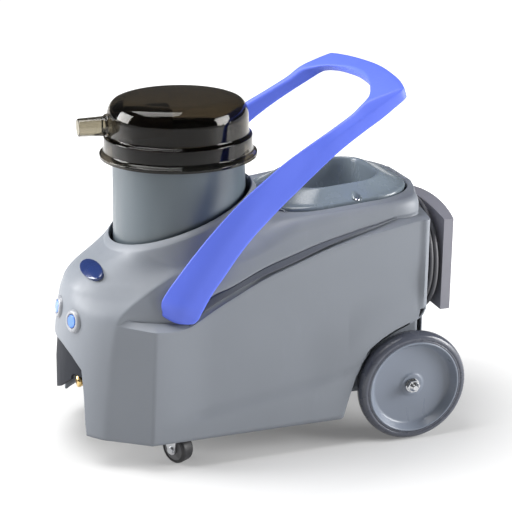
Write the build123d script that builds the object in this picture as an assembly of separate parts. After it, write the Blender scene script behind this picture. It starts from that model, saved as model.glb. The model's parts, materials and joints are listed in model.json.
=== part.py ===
from build123d import *
import math
import os

os.makedirs("parts", exist_ok=True)

# Frame, mm: +X to the rear, +Y to the far side, +Z up; the floor is Z = 0 and the
# origin lies under the middle of the length.

# Overall reach
nose_to_axle = 568.0
axle_to_tail = 99.7
shell_half_width = 165.0
middle_shift = 2.69

# Outer shell
shell_wall = 4.0
skirt_z = 50.0
ledge_z = 262.0
nose_draft = 18.0
nose_belly = 2.5
facet_back_low = 55.0
facet_inset_low = 45.0
facet_back_top = 77.0
facet_inset_top = 30.0
side_back_low = 124.0
side_back_top = 135.0
rear_side = 22.0
rear_bow = 22.0
rear_corner = 14.0
deck_ahead = 175.0
deck_z = 396.0
deck_slope = 0.08
collar_foot_wall = 30.0
collar_rim_wall = 15.0
collar_high = 34.0
collar_root = 80.0
collar_side_z = 390.0
collar_slope = 0.36
groove_depth = 6.0
notch_margin = 17.0
notch_lean = 11.0
notch_shoulder_z = 150.0
notch_top_z = 191.0
housing_inset = 35.0
housing_rise = 2.0

# Fits
seat_gap = 0.1
running_gap = 0.05
body_gap = 0.4
tank_gap = 4.0

# Rear wheels
wheel_r = 95.0
wheel_width = 42.0
wheel_standout = 13.0
tyre_high = 15.0
axle_r = 6.0
bush_wall = 4.0
arch_gap = 8.0
nut_across = 19.0

# Casters
caster_back = 164.0
caster_inset = 50.0
caster_wheel_r = 25.0
caster_width = 24.0
caster_trail = 18.0
caster_turn = 32.0
caster_plate = 46.0

# Base
base_thickness = 5.0
base_below_axle = 17.0
base_z = wheel_r - base_below_axle
base_back = 96.0

# Recovery tank, lid and shut-off
neck_back = 218.0
neck_r = 106.0
neck_draft = 6.0
neck_top_z = 505.0
tank_floor_z = 215.0
tank_wall = 4.0
lid_wall = 3.0
lid_lip_out = 21.0
lid_band_out = 13.5
lid_dome_out = 7.5
lid_lip_drop = 26.0
lid_ledge_rise = 9.0
lid_shoulder_rise = 50.0
lid_top_rise = 73.0
inlet_r = 14.0
inlet_bore_r = 12.0
inlet_rise = 28.0
inlet_length = 43.0
pipe_offset = 20.0
pipe_r = 22.0
pipe_wall = 3.0
float_r = 36.0
float_height = 26.0
float_rise = 30.0

# Solution tank
filler_bridge = 24.0
filler_behind = 26.0
filler_width = 220.0
filler_corner = 75.0
rim_proud = 5.0
rim_depth = 12.0

# Handle, side view and plan
handle_corner_ahead = 26.0
handle_corner_inset = 5.0
handle_bow = 22.0
handle_low_out = 10.0
handle_seat_inset = 26.0
handle_clearance = 1.5
bolt_r = 4.0

# Push buttons and badge
button_r = 10.5
bezel_r = 16.0
button_travel = 3.0
button_reach = 2.0
badge_half_length = 31.0
badge_half_height = 15.5

# Cord store
cable_r = 3.75
cable_pitch = 8.1
winding_quarters = 11
core_layers = 3
layer_step = 7.0
store_margin = 5.0
hub_half_width = 88.0
hub_half_height = 69.0
hub_z = 281.0
seat_behind = 36.0
store_gap = 36.0
flange_half = 112.0
flange_low_z = 201.0
flange_side_z = 360.0
flange_top_z = 371.5
flange_bow = 11.0

# Vacuum motor and pump
fan_r = 72.0
fan_height = 58.0
motor_r = 50.0
motor_wall = 3.0
shaft_r = 4.0

axle_x = (nose_to_axle - axle_to_tail) / 2 - middle_shift
nose_x = axle_x - nose_to_axle
tail_x = axle_x + axle_to_tail
axle_z = wheel_r
lip_r = wheel_r - tyre_high
base_top = base_z + base_thickness
base_front_x = nose_x + base_back
deck_x = axle_x - deck_ahead
core_grow = core_layers * layer_step
store_half_height = hub_half_height + core_grow + 2 * cable_r + store_margin
store_half_width = flange_half + store_margin + 3.0
seat_x = axle_x + seat_behind
neck_x = nose_x + neck_back
pipe_x = neck_x + pipe_offset
caster_x = nose_x + caster_back
caster_y = shell_half_width - caster_inset
facet_half_low = shell_half_width - facet_inset_low
facet_half_top = shell_half_width - facet_inset_top
notch_half_low = facet_half_low - notch_margin
notch_half_high = notch_half_low - notch_lean
housing_half = shell_half_width - housing_inset
housing_z = base_z + housing_rise
wheel_outer_y = shell_half_width + wheel_standout
collar_foot_r = neck_r + collar_foot_wall
collar_rim_r = neck_r + collar_rim_wall
filler_front_x = neck_x + neck_r + filler_bridge
filler_length = axle_x + filler_behind - filler_front_x
low_align = (Align.CENTER, Align.CENTER, Align.MIN)
far_reach = 700.0


def both_sides(piece):
    return [piece, mirror(piece, about=Plane.XZ)]


def group(pieces):
    return Compound(children=list(pieces))


def prism_y(outline, near, far):
    """Side-view outline (X, Z) carried across from Y = near to Y = far."""
    return extrude(Plane.XZ.offset(-near) * outline, amount=near - far)


def prism_x(outline, front, back):
    """Front-view outline (Y, Z) carried back from X = front to X = back."""
    return extrude(Plane.YZ.offset(front) * outline, amount=back - front)


def rod_y(radius, near, far, x, z):
    return Pos(x, (near + far) / 2, z) * Rot(90, 0, 0) * Cylinder(radius, abs(far - near))


def rod_x(radius, front, back, y, z):
    return Pos((front + back) / 2, y, z) * Rot(0, 90, 0) * Cylinder(radius, abs(back - front))


def tube_z(outer, inner, low, high, x=0.0, y=0.0):
    ring = Cylinder(outer, high - low, align=low_align) - Cylinder(inner, high - low, align=low_align)
    return Pos(x, y, low) * ring


def spin_y(outline, x, z):
    """Outline of (radius, Y) points turned about the Y-parallel axis at (x, z)."""
    face = make_face(Polyline(*[(r, y, 0) for r, y in outline], close=True))
    return Pos(x, 0, z) * revolve(face, axis=Axis.Y)


# Outer shell


def near(point):
    """The same point on the near side."""
    return (point[0], -point[1])


def rear_edges(half, corner, inset):
    """Rear of a plan: a corner arc, the bowed back wall and the other corner arc, with its start."""
    rear_x = axle_x + rear_side - inset
    bulge = rear_bow * (1 - ((half - corner) / half) ** 2)
    start = (rear_x - corner, half)
    turn = (rear_x - corner + (corner + bulge) * math.sqrt(0.5), half - corner + corner * math.sqrt(0.5))
    end = (rear_x + bulge, half - corner)
    arcs = [
        ThreePointArc(start, turn, end),
        ThreePointArc(end, (rear_x + rear_bow, 0), near(end)),
        ThreePointArc(near(end), near(turn), near(start)),
    ]
    return arcs, start


def nose_setback(share):
    """The nose stands nearly upright, then leans back towards the ledge."""
    return nose_draft * share ** nose_belly


def lower_plan(z, share, inset):
    """Plan of the lower shell at height z; share runs from 0 at the skirt to 1 at the ledge."""
    nose = nose_x + nose_setback(share) + inset
    facet_x = nose_x + facet_back_low + (facet_back_top - facet_back_low) * share + 0.8 * inset
    facet_y = facet_half_low + (facet_half_top - facet_half_low) * share - 0.5 * inset
    side_x = nose_x + side_back_low + (side_back_top - side_back_low) * share + 0.3 * inset
    half = shell_half_width - inset
    tail, corner_start = rear_edges(half, rear_corner, inset)
    edges = tail + [
        Line(near(corner_start), (side_x, -half)),
        Line((side_x, -half), (facet_x, -facet_y)),
        ThreePointArc((facet_x, -facet_y), (nose, 0), (facet_x, facet_y)),
        Line((facet_x, facet_y), (side_x, half)),
        Line((side_x, half), corner_start),
    ]
    return Pos(0, 0, z) * make_face(edges)


lower_shares = (0.0, 0.45, 0.75, 1.0)


def lower_block(inset, low, high):
    plans = [lower_plan(low + (high - low) * share, share, inset) for share in lower_shares]
    return loft(plans, ruled=True)


def nose_circle(z):
    """Centre X and radius of the nose arc of the lower shell at height z."""
    share = (z - skirt_z) / (ledge_z - skirt_z)
    nose = nose_x + nose_setback(share)
    facet_x = nose_x + facet_back_low + (facet_back_top - facet_back_low) * share
    facet_y = facet_half_low + (facet_half_top - facet_half_low) * share
    radius = ((facet_x - nose) ** 2 + facet_y ** 2) / (2 * (facet_x - nose))
    return nose + radius, radius


# Height over the ledge; setbacks of nose, cheek and flank behind the nose, each with its half
# width; then the half width and corner radius at the rear
upper_steps = [
    (0.0, 18.0, 91.0, 133.0, 236.0, 163.0, 165.0, 14.0),
    (28.0, 29.5, 130.0, 134.0, 241.0, 160.0, 164.0, 16.0),
    (43.0, 45.5, 155.0, 131.0, 244.0, 158.0, 163.0, 18.0),
    (58.0, 68.5, 185.0, 131.0, 249.0, 155.5, 161.0, 20.0),
    (76.0, 88.0, 200.0, 128.0, 254.0, 152.0, 158.5, 24.0),
    (110.0, 108.0, 222.0, 120.0, 270.0, 145.0, 148.0, 32.0),
    (163.0, 170.0, 250.0, 100.0, 290.0, 137.0, 140.0, 38.0),
]


def upper_plan(step, inset, z):
    _, nose_back, cheek_back, cheek_half, flank_back, flank_half, rear_half, corner = step
    width_change = shell_half_width - upper_steps[0][6]
    nose = nose_x + nose_back + 1.3 * inset
    cheek = (nose_x + cheek_back + 0.7 * inset, cheek_half + width_change - 0.8 * inset)
    flank = (nose_x + flank_back, flank_half + width_change - inset)
    tail, corner_start = rear_edges(rear_half + width_change - inset, corner, inset)
    edges = tail + [
        Line(near(corner_start), near(flank)),
        Line(near(flank), near(cheek)),
        ThreePointArc(near(cheek), (nose, 0), cheek),
        Line(cheek, flank),
        Line(flank, corner_start),
    ]
    return Pos(0, 0, z) * make_face(edges)


deck_tilt = math.degrees(math.atan(deck_slope))


def above_deck(drop):
    """Everything over the tilted deck, lowered by drop."""
    block = Box(2 * far_reach, 2 * far_reach, far_reach, align=low_align)
    return Pos(deck_x, 0, deck_z - drop) * Rot(0, -deck_tilt, 0) * block


def upper_block(inset, sink):
    plans = [upper_plan(step, inset, ledge_z + step[0]) for step in upper_steps]
    body = loft(plans, ruled=True)
    if sink > 0:
        body += extrude(upper_plan(upper_steps[0], inset, ledge_z - sink), amount=sink)
    return body - above_deck(inset)


collar_tilt = math.degrees(math.atan(collar_slope))


def collar_ring(radius, drop):
    """Ellipse that is round in plan, in the rim's tilted plane lowered by drop."""
    outline = Ellipse(radius / math.cos(math.radians(collar_tilt)), radius)
    return Pos(neck_x, 0, collar_side_z - drop) * Rot(0, -collar_tilt, 0) * outline


collar = loft(
    [
        collar_ring(collar_foot_r, collar_root),
        collar_ring(collar_foot_r, collar_high),
        collar_ring(collar_rim_r, 0.0),
    ],
    ruled=True,
)

arch_r = wheel_r + arch_gap
arch_foot_x = axle_x - arch_r - 17.0


def arch_outline(grow):
    """Wheel arch in side view: a flared foot, an arc round the wheel and a rising tail."""
    radius = arch_r + grow
    foot = (arch_foot_x - grow, skirt_z - 10.0)
    spring = (axle_x - radius * math.cos(math.radians(15)), axle_z + radius * math.sin(math.radians(15)))
    middle = (axle_x - radius * math.cos(math.radians(45)), axle_z + radius * math.sin(math.radians(45)))
    crown = (axle_x - radius * math.cos(math.radians(72)), axle_z + radius * math.sin(math.radians(72)))
    tail = (axle_x + rear_side + 10.0, axle_z + radius + 26.0)
    tail_end = (axle_x + rear_side + 60.0, axle_z + radius + 26.0)
    edges = [
        Line((tail_end[0], skirt_z - 10.0), foot),
        Line(foot, spring),
        ThreePointArc(spring, middle, crown),
        Line(crown, tail),
        Line(tail, tail_end),
        Line(tail_end, (tail_end[0], skirt_z - 10.0)),
    ]
    return make_face(edges)


def arch_pair(grow):
    return both_sides(prism_y(arch_outline(grow), -far_reach / 2, -(housing_half - grow)))


# Side view of the handle, X from the axle: up the top edge, then back down the underside
handle_top = [(-419, 286), (-355, 365), (-278, 441), (-171, 514), (-94, 562), (-26, 592), (10, 604)]
handle_low = [(10, 589), (-26, 577), (-95, 536), (-192, 462), (-274, 388), (-338, 311), (-370, 268)]
handle_heel = (-403, 265)
handle_seat_half = shell_half_width - handle_seat_inset


def pushed(points, amount):
    """Points moved to the left of the run through their neighbours."""
    moved = []
    for i, (x, z) in enumerate(points):
        before = points[max(i - 1, 0)]
        after = points[min(i + 1, len(points) - 1)]
        run = math.dist(before, after)
        moved.append((x - amount * (after[1] - before[1]) / run, z + amount * (after[0] - before[0]) / run))
    return moved


def handle_side(grow):
    top = pushed(handle_top, grow)
    low = pushed(handle_low, grow)
    heel = pushed([handle_low[-1], handle_heel, handle_top[0]], grow)[1]
    edges = [
        Spline(*top),
        Line(top[-1], low[0]),
        Spline(*low),
        ThreePointArc(low[-1], heel, top[0]),
    ]
    return Pos(axle_x, 0) * make_face(edges)


def arm_channel(grow):
    """Room for both arms in the shell, grown by a clearance or a wall."""
    side = handle_side(handle_clearance + grow)
    return both_sides(prism_y(side, -far_reach / 2, -(handle_seat_half - grow)))


# Lower edge of the swept groove, X from the axle
groove_low = [(-360, 262), (-263, 298), (-167, 329), (-65, 355), (12, 371)]
groove_width = (15.0, 3.0)


def groove_outline(grow):
    """Tapering band whose lower edge follows groove_low."""
    span = groove_low[-1][0] - groove_low[0][0]
    top = []
    for x, z in groove_low:
        share = (x - groove_low[0][0]) / span
        top.append((x, z + groove_width[0] + (groove_width[1] - groove_width[0]) * share + grow))
    low = [(x, z - grow) for x, z in groove_low]
    for line in (low, top):
        line[0] = (line[0][0] - grow, line[0][1])
        line[-1] = (line[-1][0] + grow, line[-1][1])
    edges = [Spline(*low), Line(low[-1], top[-1]), Spline(*top[::-1]), Line(top[0], low[0])]
    return Pos(axle_x, 0) * make_face(edges)


def groove_pair(grow):
    inner = shell_half_width - groove_depth - grow
    return both_sides(prism_y(groove_outline(grow), -far_reach / 2, -inner))


def notch_outline():
    """Wide arch through the lower front, seen from the front."""
    spread = notch_half_low - notch_half_high
    foot = (notch_half_low + spread * 0.1, skirt_z - 10.0)
    shoulder = (notch_half_high, notch_shoulder_z)
    bend = (notch_half_high - 14.0, (notch_shoulder_z + notch_top_z) / 2)
    brow = (notch_half_high / 2, notch_top_z - 4.0)

    def left(point):
        return (-point[0], point[1])

    edges = [
        Line(left(foot), left(shoulder)),
        ThreePointArc(left(shoulder), left(bend), left(brow)),
        ThreePointArc(left(brow), (0, notch_top_z), brow),
        ThreePointArc(brow, bend, shoulder),
        Line(shoulder, foot),
        Line(foot, left(foot)),
    ]
    return make_face(edges)


notch_depth = 75.0
front_notch = prism_x(notch_outline(), nose_x - 10.0, nose_x + notch_depth)

filler_x = filler_front_x + filler_length / 2
deck_run = (filler_x - deck_x) / math.cos(math.radians(deck_tilt))
deck_plane = Pos(deck_x, 0, deck_z) * Rot(0, -deck_tilt, 0) * Pos(deck_run, 0, 0)


def filler_slab(grow, low, high):
    """Filler outline grown by grow, between two heights over the deck."""
    outline = RectangleRounded(filler_length + 2 * grow, filler_width + 2 * grow, filler_corner + grow)
    return deck_plane * Pos(0, 0, low) * extrude(outline, amount=high - low)


outer = lower_block(0.0, skirt_z, ledge_z) + upper_block(0.0, 0.0) + collar
outer -= arch_pair(0.0)
outer -= Pos(arch_foot_x, 0, 0) * Box(
    far_reach, 2 * housing_half + 2.0, 2 * housing_z, align=(Align.MIN, Align.CENTER, Align.CENTER)
)
outer -= arm_channel(0.0)
outer -= groove_pair(0.0)
outer -= front_notch
outer -= Pos(seat_x, 0, hub_z) * Box(
    far_reach, 2 * store_half_width, 2 * store_half_height, align=(Align.MIN, Align.CENTER, Align.CENTER)
)

cavity = lower_block(shell_wall, skirt_z, ledge_z - shell_wall) + upper_block(shell_wall, 3 * shell_wall)
cavity += extrude(lower_plan(skirt_z, 0.0, shell_wall), amount=-20.0)
cavity -= arch_pair(shell_wall)
cavity -= arm_channel(shell_wall)
cavity -= groove_pair(shell_wall)
cavity -= Pos(seat_x - shell_wall, 0, hub_z) * Box(
    far_reach, far_reach, 2 * (store_half_height + shell_wall), align=(Align.MIN, Align.CENTER, Align.CENTER)
)
rim_well = tank_gap + shell_wall
ledge_width = 9.0
cavity -= filler_slab(rim_well, -rim_depth - shell_wall, far_reach)

body_shell = outer - cavity
neck_foot_r = neck_r + neck_draft
body_shell -= Pos(neck_x, 0, ledge_z) * Cylinder(neck_foot_r + tank_gap, far_reach, align=low_align)
body_shell -= filler_slab(tank_gap, rim_proud - rim_depth, far_reach)
body_shell -= filler_slab(-ledge_width, -far_reach / 8, far_reach)

axle_hole_r = axle_r + 1.0
body_shell -= rod_y(axle_hole_r, -far_reach / 2, far_reach / 2, axle_x, axle_z)

# Base plate with screw posts in the shell
base_gap = 1.0
base_half = shell_half_width - shell_wall - base_gap
base_tail_half = housing_half - shell_wall - base_gap
base_rear_x = axle_x + rear_side - shell_wall - base_gap
base_outline = Polyline(
    (base_front_x, -90),
    (base_front_x + 55, -base_half),
    (arch_foot_x - shell_wall - base_gap - 4.0, -base_half),
    (arch_foot_x - shell_wall - base_gap - 4.0, -base_tail_half),
    (base_rear_x, -base_tail_half),
    (base_rear_x, base_tail_half),
    (arch_foot_x - shell_wall - base_gap - 4.0, base_tail_half),
    (arch_foot_x - shell_wall - base_gap - 4.0, base_half),
    (base_front_x + 55, base_half),
    (base_front_x, 90),
    close=True,
)
base_plate = Pos(0, 0, base_z) * extrude(make_face(base_outline), amount=base_thickness)
exhaust_x = 40.0
exhaust_y = 70.0
slot_count = 7
slot_pitch = 9.0
for i in range(slot_count):
    slot_x = exhaust_x + (i - (slot_count - 1) / 2) * slot_pitch
    base_plate -= Pos(slot_x, exhaust_y, base_z) * Box(5.0, 60.0, 4 * base_thickness)

post_r = 8.0
post_height = 34.0
screw_r = 2.2
post_rows = (caster_x + 62.0, 0.0, arch_foot_x - 34.0)
post_points = [(x, side * (base_half - 6.0)) for x in post_rows for side in (-1, 1)]
for x, y in post_points:
    web = Box(2 * post_r, 8.0 + shell_wall, post_height, align=low_align)
    post = Pos(x, y, base_top) * Cylinder(post_r, post_height, align=low_align)
    post += Pos(x, y + math.copysign(5.0, y), base_top) * web
    body_shell += post - Pos(x, y, base_top) * Cylinder(screw_r + seat_gap, 20.0, align=low_align)
    base_plate -= Pos(x, y, 0) * Cylinder(screw_r + seat_gap, 4 * base_z)
screw_head_r = 4.5
screw_head = 2.4
base_screws = []
for x, y in post_points:
    screw = Pos(x, y, base_z - screw_head) * Cylinder(screw_head_r, screw_head, align=low_align)
    screw += Pos(x, y, base_z) * Cylinder(screw_r, base_thickness + 16.0, align=low_align)
    screw -= Pos(x, y, base_z - screw_head) * Box(1.0, 6.0, 2.0)
    base_screws.append(screw)

# Dark front valance behind the notch
valance_wall = 4.0
valance_half = notch_half_low + 14.0
valance_top_z = notch_top_z + 14.0
valance_edge = [(valance_half, 82), (60, 84), (24, 91), (-15, 107), (-44, 126), (-67, 141)]
valance_edge.append((-valance_half, 147))
valance = lower_block(shell_wall + seat_gap, skirt_z, ledge_z - shell_wall)
valance -= lower_block(shell_wall + seat_gap + valance_wall, skirt_z - 1.0, ledge_z)
valance_window = make_face(
    [
        Spline(*valance_edge),
        Line(valance_edge[-1], (-valance_half, valance_top_z)),
        Line((-valance_half, valance_top_z), (valance_half, valance_top_z)),
        Line((valance_half, valance_top_z), valance_edge[0]),
    ]
)
valance &= prism_x(valance_window, nose_x - 10.0, nose_x + notch_depth)

# Brass solution coupler on a bracket
coupler_y = -70.0
coupler_z = 136.0
coupler_r = 11.0
coupler_front = nose_x + 24.0
bracket_x = nose_x + 64.0
bracket_wall = 3.0
thread_r = 8.0


def coupler_shape():
    """Collared brass coupling turned about its own axis, then set along X."""
    back = bracket_x - coupler_front
    outline = [
        (4.0, 0.0),
        (8.5, 0.0),
        (10.0, 1.5),
        (10.0, 6.0),
        (8.6, 7.0),
        (8.6, 10.0),
        (coupler_r, 11.0),
        (coupler_r, 24.0),
        (9.5, 26.0),
        (9.5, back),
        (thread_r, back),
        (thread_r, back + 22.0),
        (5.5, back + 24.0),
        (5.5, back + 40.0),
        (4.0, back + 40.0),
    ]
    face = make_face(Polyline(*[(r, 0, h) for r, h in outline], close=True))
    turned = revolve(face, axis=Axis.Z)
    hexagon = extrude(RegularPolygon(12.0, 6), amount=8.0) - Cylinder(9.0, 40.0)
    turned += Pos(0, 0, back - 8.0) * hexagon
    return Pos(coupler_front, coupler_y, coupler_z) * Rot(0, 90, 0) * turned


quick_coupler = coupler_shape()
valance -= rod_x(coupler_r + 1.0, nose_x - 10.0, nose_x + notch_depth, coupler_y, coupler_z)
bracket_half = 25.0
coupler_bracket = Pos(bracket_x, coupler_y, base_top) * Box(
    bracket_wall, 2 * bracket_half, coupler_z + 20.0 - base_top, align=(Align.MIN, Align.CENTER, Align.MIN)
)
bracket_foot = base_front_x + 34.0 - bracket_x
bracket_align = (Align.MIN, Align.CENTER, Align.MIN)
coupler_bracket += Pos(bracket_x, coupler_y, base_top) * Box(
    bracket_foot, 2 * bracket_half, bracket_wall, align=bracket_align
)
coupler_bracket -= rod_x(thread_r + seat_gap, bracket_x - 5.0, bracket_x + 9.0, coupler_y, coupler_z)
coupler_nut = extrude(RegularPolygon(12.5, 6), amount=6.0) - Cylinder(thread_r + seat_gap, 40.0)
coupler_nut = Pos(bracket_x + bracket_wall, coupler_y, coupler_z) * Rot(0, 90, 0) * coupler_nut
for step in (-1, 1):
    x = base_front_x + 24.0
    y = coupler_y + step * 16.0
    top = base_top + bracket_wall
    coupler_bracket -= Pos(x, y, top) * Cylinder(screw_r + seat_gap, 20.0)
    base_plate -= Pos(x, y, base_z) * Cylinder(screw_r + seat_gap, 40.0)
    screw = Pos(x, y, top) * Cylinder(screw_head_r, screw_head, align=low_align)
    screw += Pos(x, y, base_z) * Cylinder(screw_r, top - base_z, align=low_align)
    base_screws.append(screw)

# Recovery tank: a drafted bucket that stands up through the collar
bucket = Pos(neck_x, 0, tank_floor_z) * Cone(
    neck_foot_r, neck_r, neck_top_z - tank_floor_z, align=low_align
)
bucket -= Pos(neck_x, 0, tank_floor_z + tank_wall) * Cone(
    neck_foot_r - tank_wall, neck_r - tank_wall, neck_top_z - tank_floor_z, align=low_align
)
recovery_tank = bucket - Pos(pipe_x, 0, tank_floor_z) * Cylinder(pipe_r + seat_gap, 4 * tank_wall)

# Standpipe, ring float and shut-off cap
pipe_top_z = neck_top_z - 30.0
cap_room = 20.0
stop_z = pipe_top_z - float_height - float_rise - cap_room
standpipe = tube_z(pipe_r, pipe_r - pipe_wall, tank_floor_z, pipe_top_z, pipe_x)
standpipe += tube_z(pipe_r + 6.0, pipe_r - pipe_wall, stop_z - 4.0, stop_z, pipe_x)
window_high = 26.0
for turn in range(4):
    window = Pos(pipe_x, 0, pipe_top_z - window_high - 6.0) * Rot(0, 0, 45 + 90 * turn)
    standpipe -= window * Box(2 * pipe_r, 16.0, window_high, align=(Align.MIN, Align.CENTER, Align.MIN))
float_ring = tube_z(float_r, pipe_r + body_gap, stop_z, stop_z + float_height, pipe_x)
float_ring = fillet(float_ring.edges().filter_by(GeomType.CIRCLE).group_by(SortBy.RADIUS)[-1], 6.0)
pipe_cap = Pos(pipe_x, 0, pipe_top_z) * Cylinder(pipe_r + 5.0, 3.0, align=low_align)
pipe_cap += Pos(pipe_x, 0, pipe_top_z - 5.0) * Cylinder(pipe_r - pipe_wall - seat_gap, 5.0, align=low_align)

# Clear lid: lip, band, ledge, dome and hose inlet
lid_lip_r = neck_r + lid_lip_out
lid_band_r = neck_r + lid_band_out
lid_dome_r = neck_r + lid_dome_out
lid_lip_z = neck_top_z - lid_lip_drop
lid_ledge_z = neck_top_z + lid_ledge_rise
lid_shoulder_z = neck_top_z + lid_shoulder_rise
lid_top_z = neck_top_z + lid_top_rise
inlet_z = neck_top_z + inlet_rise
lid_round = 3.0
lid_arc = [
    (lid_lip_r, lid_lip_z),
    (lid_lip_r, lid_lip_z + 4.0),
    (lid_band_r, lid_lip_z + 8.0),
    (lid_band_r, lid_ledge_z - lid_round),
    (lid_band_r - lid_round, lid_ledge_z),
    (lid_dome_r, lid_ledge_z),
    (lid_dome_r - 1.0, lid_shoulder_z),
]
lid_bend = (lid_dome_r - 9.0, lid_shoulder_z + 13.0)
lid_brow = (lid_dome_r - 27.0, lid_shoulder_z + 18.0)


def lid_solid(inset):
    """Turned dome; inset moves every wall inwards."""
    points = [(r - inset, z if z < lid_ledge_z - lid_round else z - inset) for r, z in lid_arc]
    points[0] = (lid_lip_r - inset, lid_lip_z - (1.0 if inset else 0.0))
    bend = (lid_bend[0] - 0.7 * inset, lid_bend[1] - 0.7 * inset)
    brow = (lid_brow[0], lid_brow[1] - inset)
    edges = [Line((0, points[0][1]), points[0])]
    edges += [Line(a, b) for a, b in zip(points, points[1:])]
    edges += [
        ThreePointArc(points[-1], bend, brow),
        Line(brow, (0, lid_top_z - inset)),
        Line((0, lid_top_z - inset), (0, points[0][1])),
    ]
    face = Plane.XZ * make_face(edges)
    return Pos(neck_x, 0, 0) * revolve(face, axis=Axis.Z)


inlet_tip_x = neck_x - lid_dome_r - inlet_length
inlet_root_x = neck_x - lid_dome_r + 12.0
lid = lid_solid(0.0)
lid += rod_x(inlet_r, inlet_tip_x, inlet_root_x, 0, inlet_z)
lid += rod_x(inlet_r + 4.0, neck_x - lid_dome_r - 2.0, inlet_root_x, 0, inlet_z)
lid -= lid_solid(lid_wall)
lid -= rod_x(inlet_bore_r, inlet_tip_x - 1.0, inlet_root_x + 1.0, 0, inlet_z)

gasket_high = lid_ledge_z - lid_wall - neck_top_z
gasket_r = lid_band_r - lid_wall - lid_round - body_gap
lid_gasket = tube_z(gasket_r, neck_r - tank_wall - 2.0, neck_top_z, neck_top_z + gasket_high, neck_x)

# Hood inside the lid that throws the inlet water down
hood_half = 21.0
hood_wall = 2.5
hood_front = neck_x - lid_dome_r + lid_wall + 6.0
hood_back = neck_x - 14.0
hood_top = lid_shoulder_z + 2.0
hood_low = neck_top_z + gasket_high + 2.0
hood_length = hood_back - hood_front
hood_high = hood_top - hood_low
hood_align = (Align.MIN, Align.CENTER, Align.MIN)
hood_room = Box(
    hood_length - hood_wall + 1.0, 2 * (hood_half - hood_wall), hood_high - hood_wall + 1.0, align=hood_align
)
inlet_hood = Box(hood_length, 2 * hood_half, hood_high, align=hood_align) - Pos(-1.0, 0, -1.0) * hood_room
inlet_hood = Pos(hood_front, 0, hood_low) * inlet_hood
hood_stem = lid_top_z - hood_top
inlet_hood += Pos(hood_front + 8.0, 0, hood_top) * Box(16.0, 8.0, hood_stem, align=low_align)
inlet_hood &= lid_solid(lid_wall + seat_gap)

# Solution tank: an open chamber closed by the rimmed filler funnel
chamber_inset = ledge_width + 3.0
chamber_plan = RectangleRounded(
    filler_length - 2 * chamber_inset, filler_width - 2 * chamber_inset, filler_corner - chamber_inset
)
chamber_core = RectangleRounded(
    filler_length - 2 * chamber_inset - 2 * tank_wall,
    filler_width - 2 * chamber_inset - 2 * tank_wall,
    filler_corner - chamber_inset - tank_wall,
)
rim_under = rim_proud - rim_depth
chamber_high = deck_z - tank_floor_z + 40.0
solution_tank = Pos(filler_x, 0, tank_floor_z) * extrude(chamber_plan, amount=chamber_high)
solution_tank -= Pos(filler_x, 0, tank_floor_z + tank_wall) * extrude(chamber_core, amount=chamber_high)
solution_tank -= deck_plane * Pos(0, 0, rim_under) * Box(far_reach, far_reach, far_reach, align=low_align)
bowl_x = filler_x + 4.0
bowl_low_x = filler_x + 16.0
bowl_drop = 62.0


def bowl_shape(grow):
    """Funnel from the oval mouth on the rim down to the round throat."""
    mouth = deck_plane * Pos(bowl_x - filler_x, 0, rim_proud) * RectangleRounded(
        176.0 + 2 * grow, 158.0 + 2 * grow, 66.0 + grow
    )
    throat = Pos(bowl_low_x, 0, deck_z + rim_proud - bowl_drop) * RectangleRounded(
        92.0 + 2 * grow, 84.0 + 2 * grow, 38.0 + grow
    )
    return loft([mouth, throat])


filler_funnel = filler_slab(0.0, rim_under, rim_proud) + bowl_shape(tank_wall)
filler_funnel -= bowl_shape(0.0)
throat_z = deck_z + rim_proud - bowl_drop
strainer_r = 34.0
filler_funnel += tube_z(strainer_r + 14.0, strainer_r + body_gap, throat_z - 3.0, throat_z, bowl_low_x)
strainer = tube_z(strainer_r, strainer_r - 2.0, throat_z - 44.0, throat_z, bowl_low_x)
strainer += tube_z(strainer_r + 5.0, strainer_r - 2.0, throat_z, throat_z + 2.0, bowl_low_x)
strainer += Pos(bowl_low_x, 0, throat_z - 46.0) * Cylinder(strainer_r, 2.0, align=low_align)
strainer_slots = 12
for i in range(strainer_slots):
    slot = Pos(bowl_low_x, 0, throat_z - 38.0) * Rot(0, 0, 360.0 * i / strainer_slots)
    strainer -= slot * Pos(strainer_r, 0, 0) * Box(10.0, 6.0, 28.0, align=low_align)

tank_screw_x = filler_x + 15.0
tank_screw_y = filler_width / 2 - 5.0
tank_screws = []
for side in (-1, 1):
    seat = deck_plane * Pos(tank_screw_x - filler_x, side * tank_screw_y, 0)
    filler_funnel -= seat * Cylinder(7.0, 2 * rim_proud + rim_depth)
    filler_funnel += seat * Pos(0, 0, rim_under) * Cylinder(7.5, 4.0, align=low_align)
    filler_funnel -= seat * Cylinder(screw_r + seat_gap, 60.0)
    body_shell -= seat * Cylinder(screw_r + seat_gap, 60.0)
    screw = Pos(0, 0, rim_under + 4.0) * Cylinder(screw_head_r, 3.0, align=low_align)
    screw += Pos(0, 0, rim_under - 8.0) * Cylinder(screw_r, 12.0, align=low_align)
    for turn in (0, 90):
        screw -= Pos(0, 0, rim_under + 7.0) * Rot(0, 0, turn) * Box(5.6, 1.2, 2.4)
    tank_screws.append(seat * screw)

# Handle: side view crossed with a U in plan
handle_corner_x = axle_x - handle_corner_ahead
handle_corner_half = shell_half_width - handle_corner_inset
handle_low_half = shell_half_width + handle_low_out
handle_inner_x = handle_corner_x - 28.0
handle_arm_end = handle_corner_x - 86.0
handle_wide = 33.0
top_inner = handle_corner_half - handle_wide
handle_inner_apex = handle_corner_x - 14.0


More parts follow.
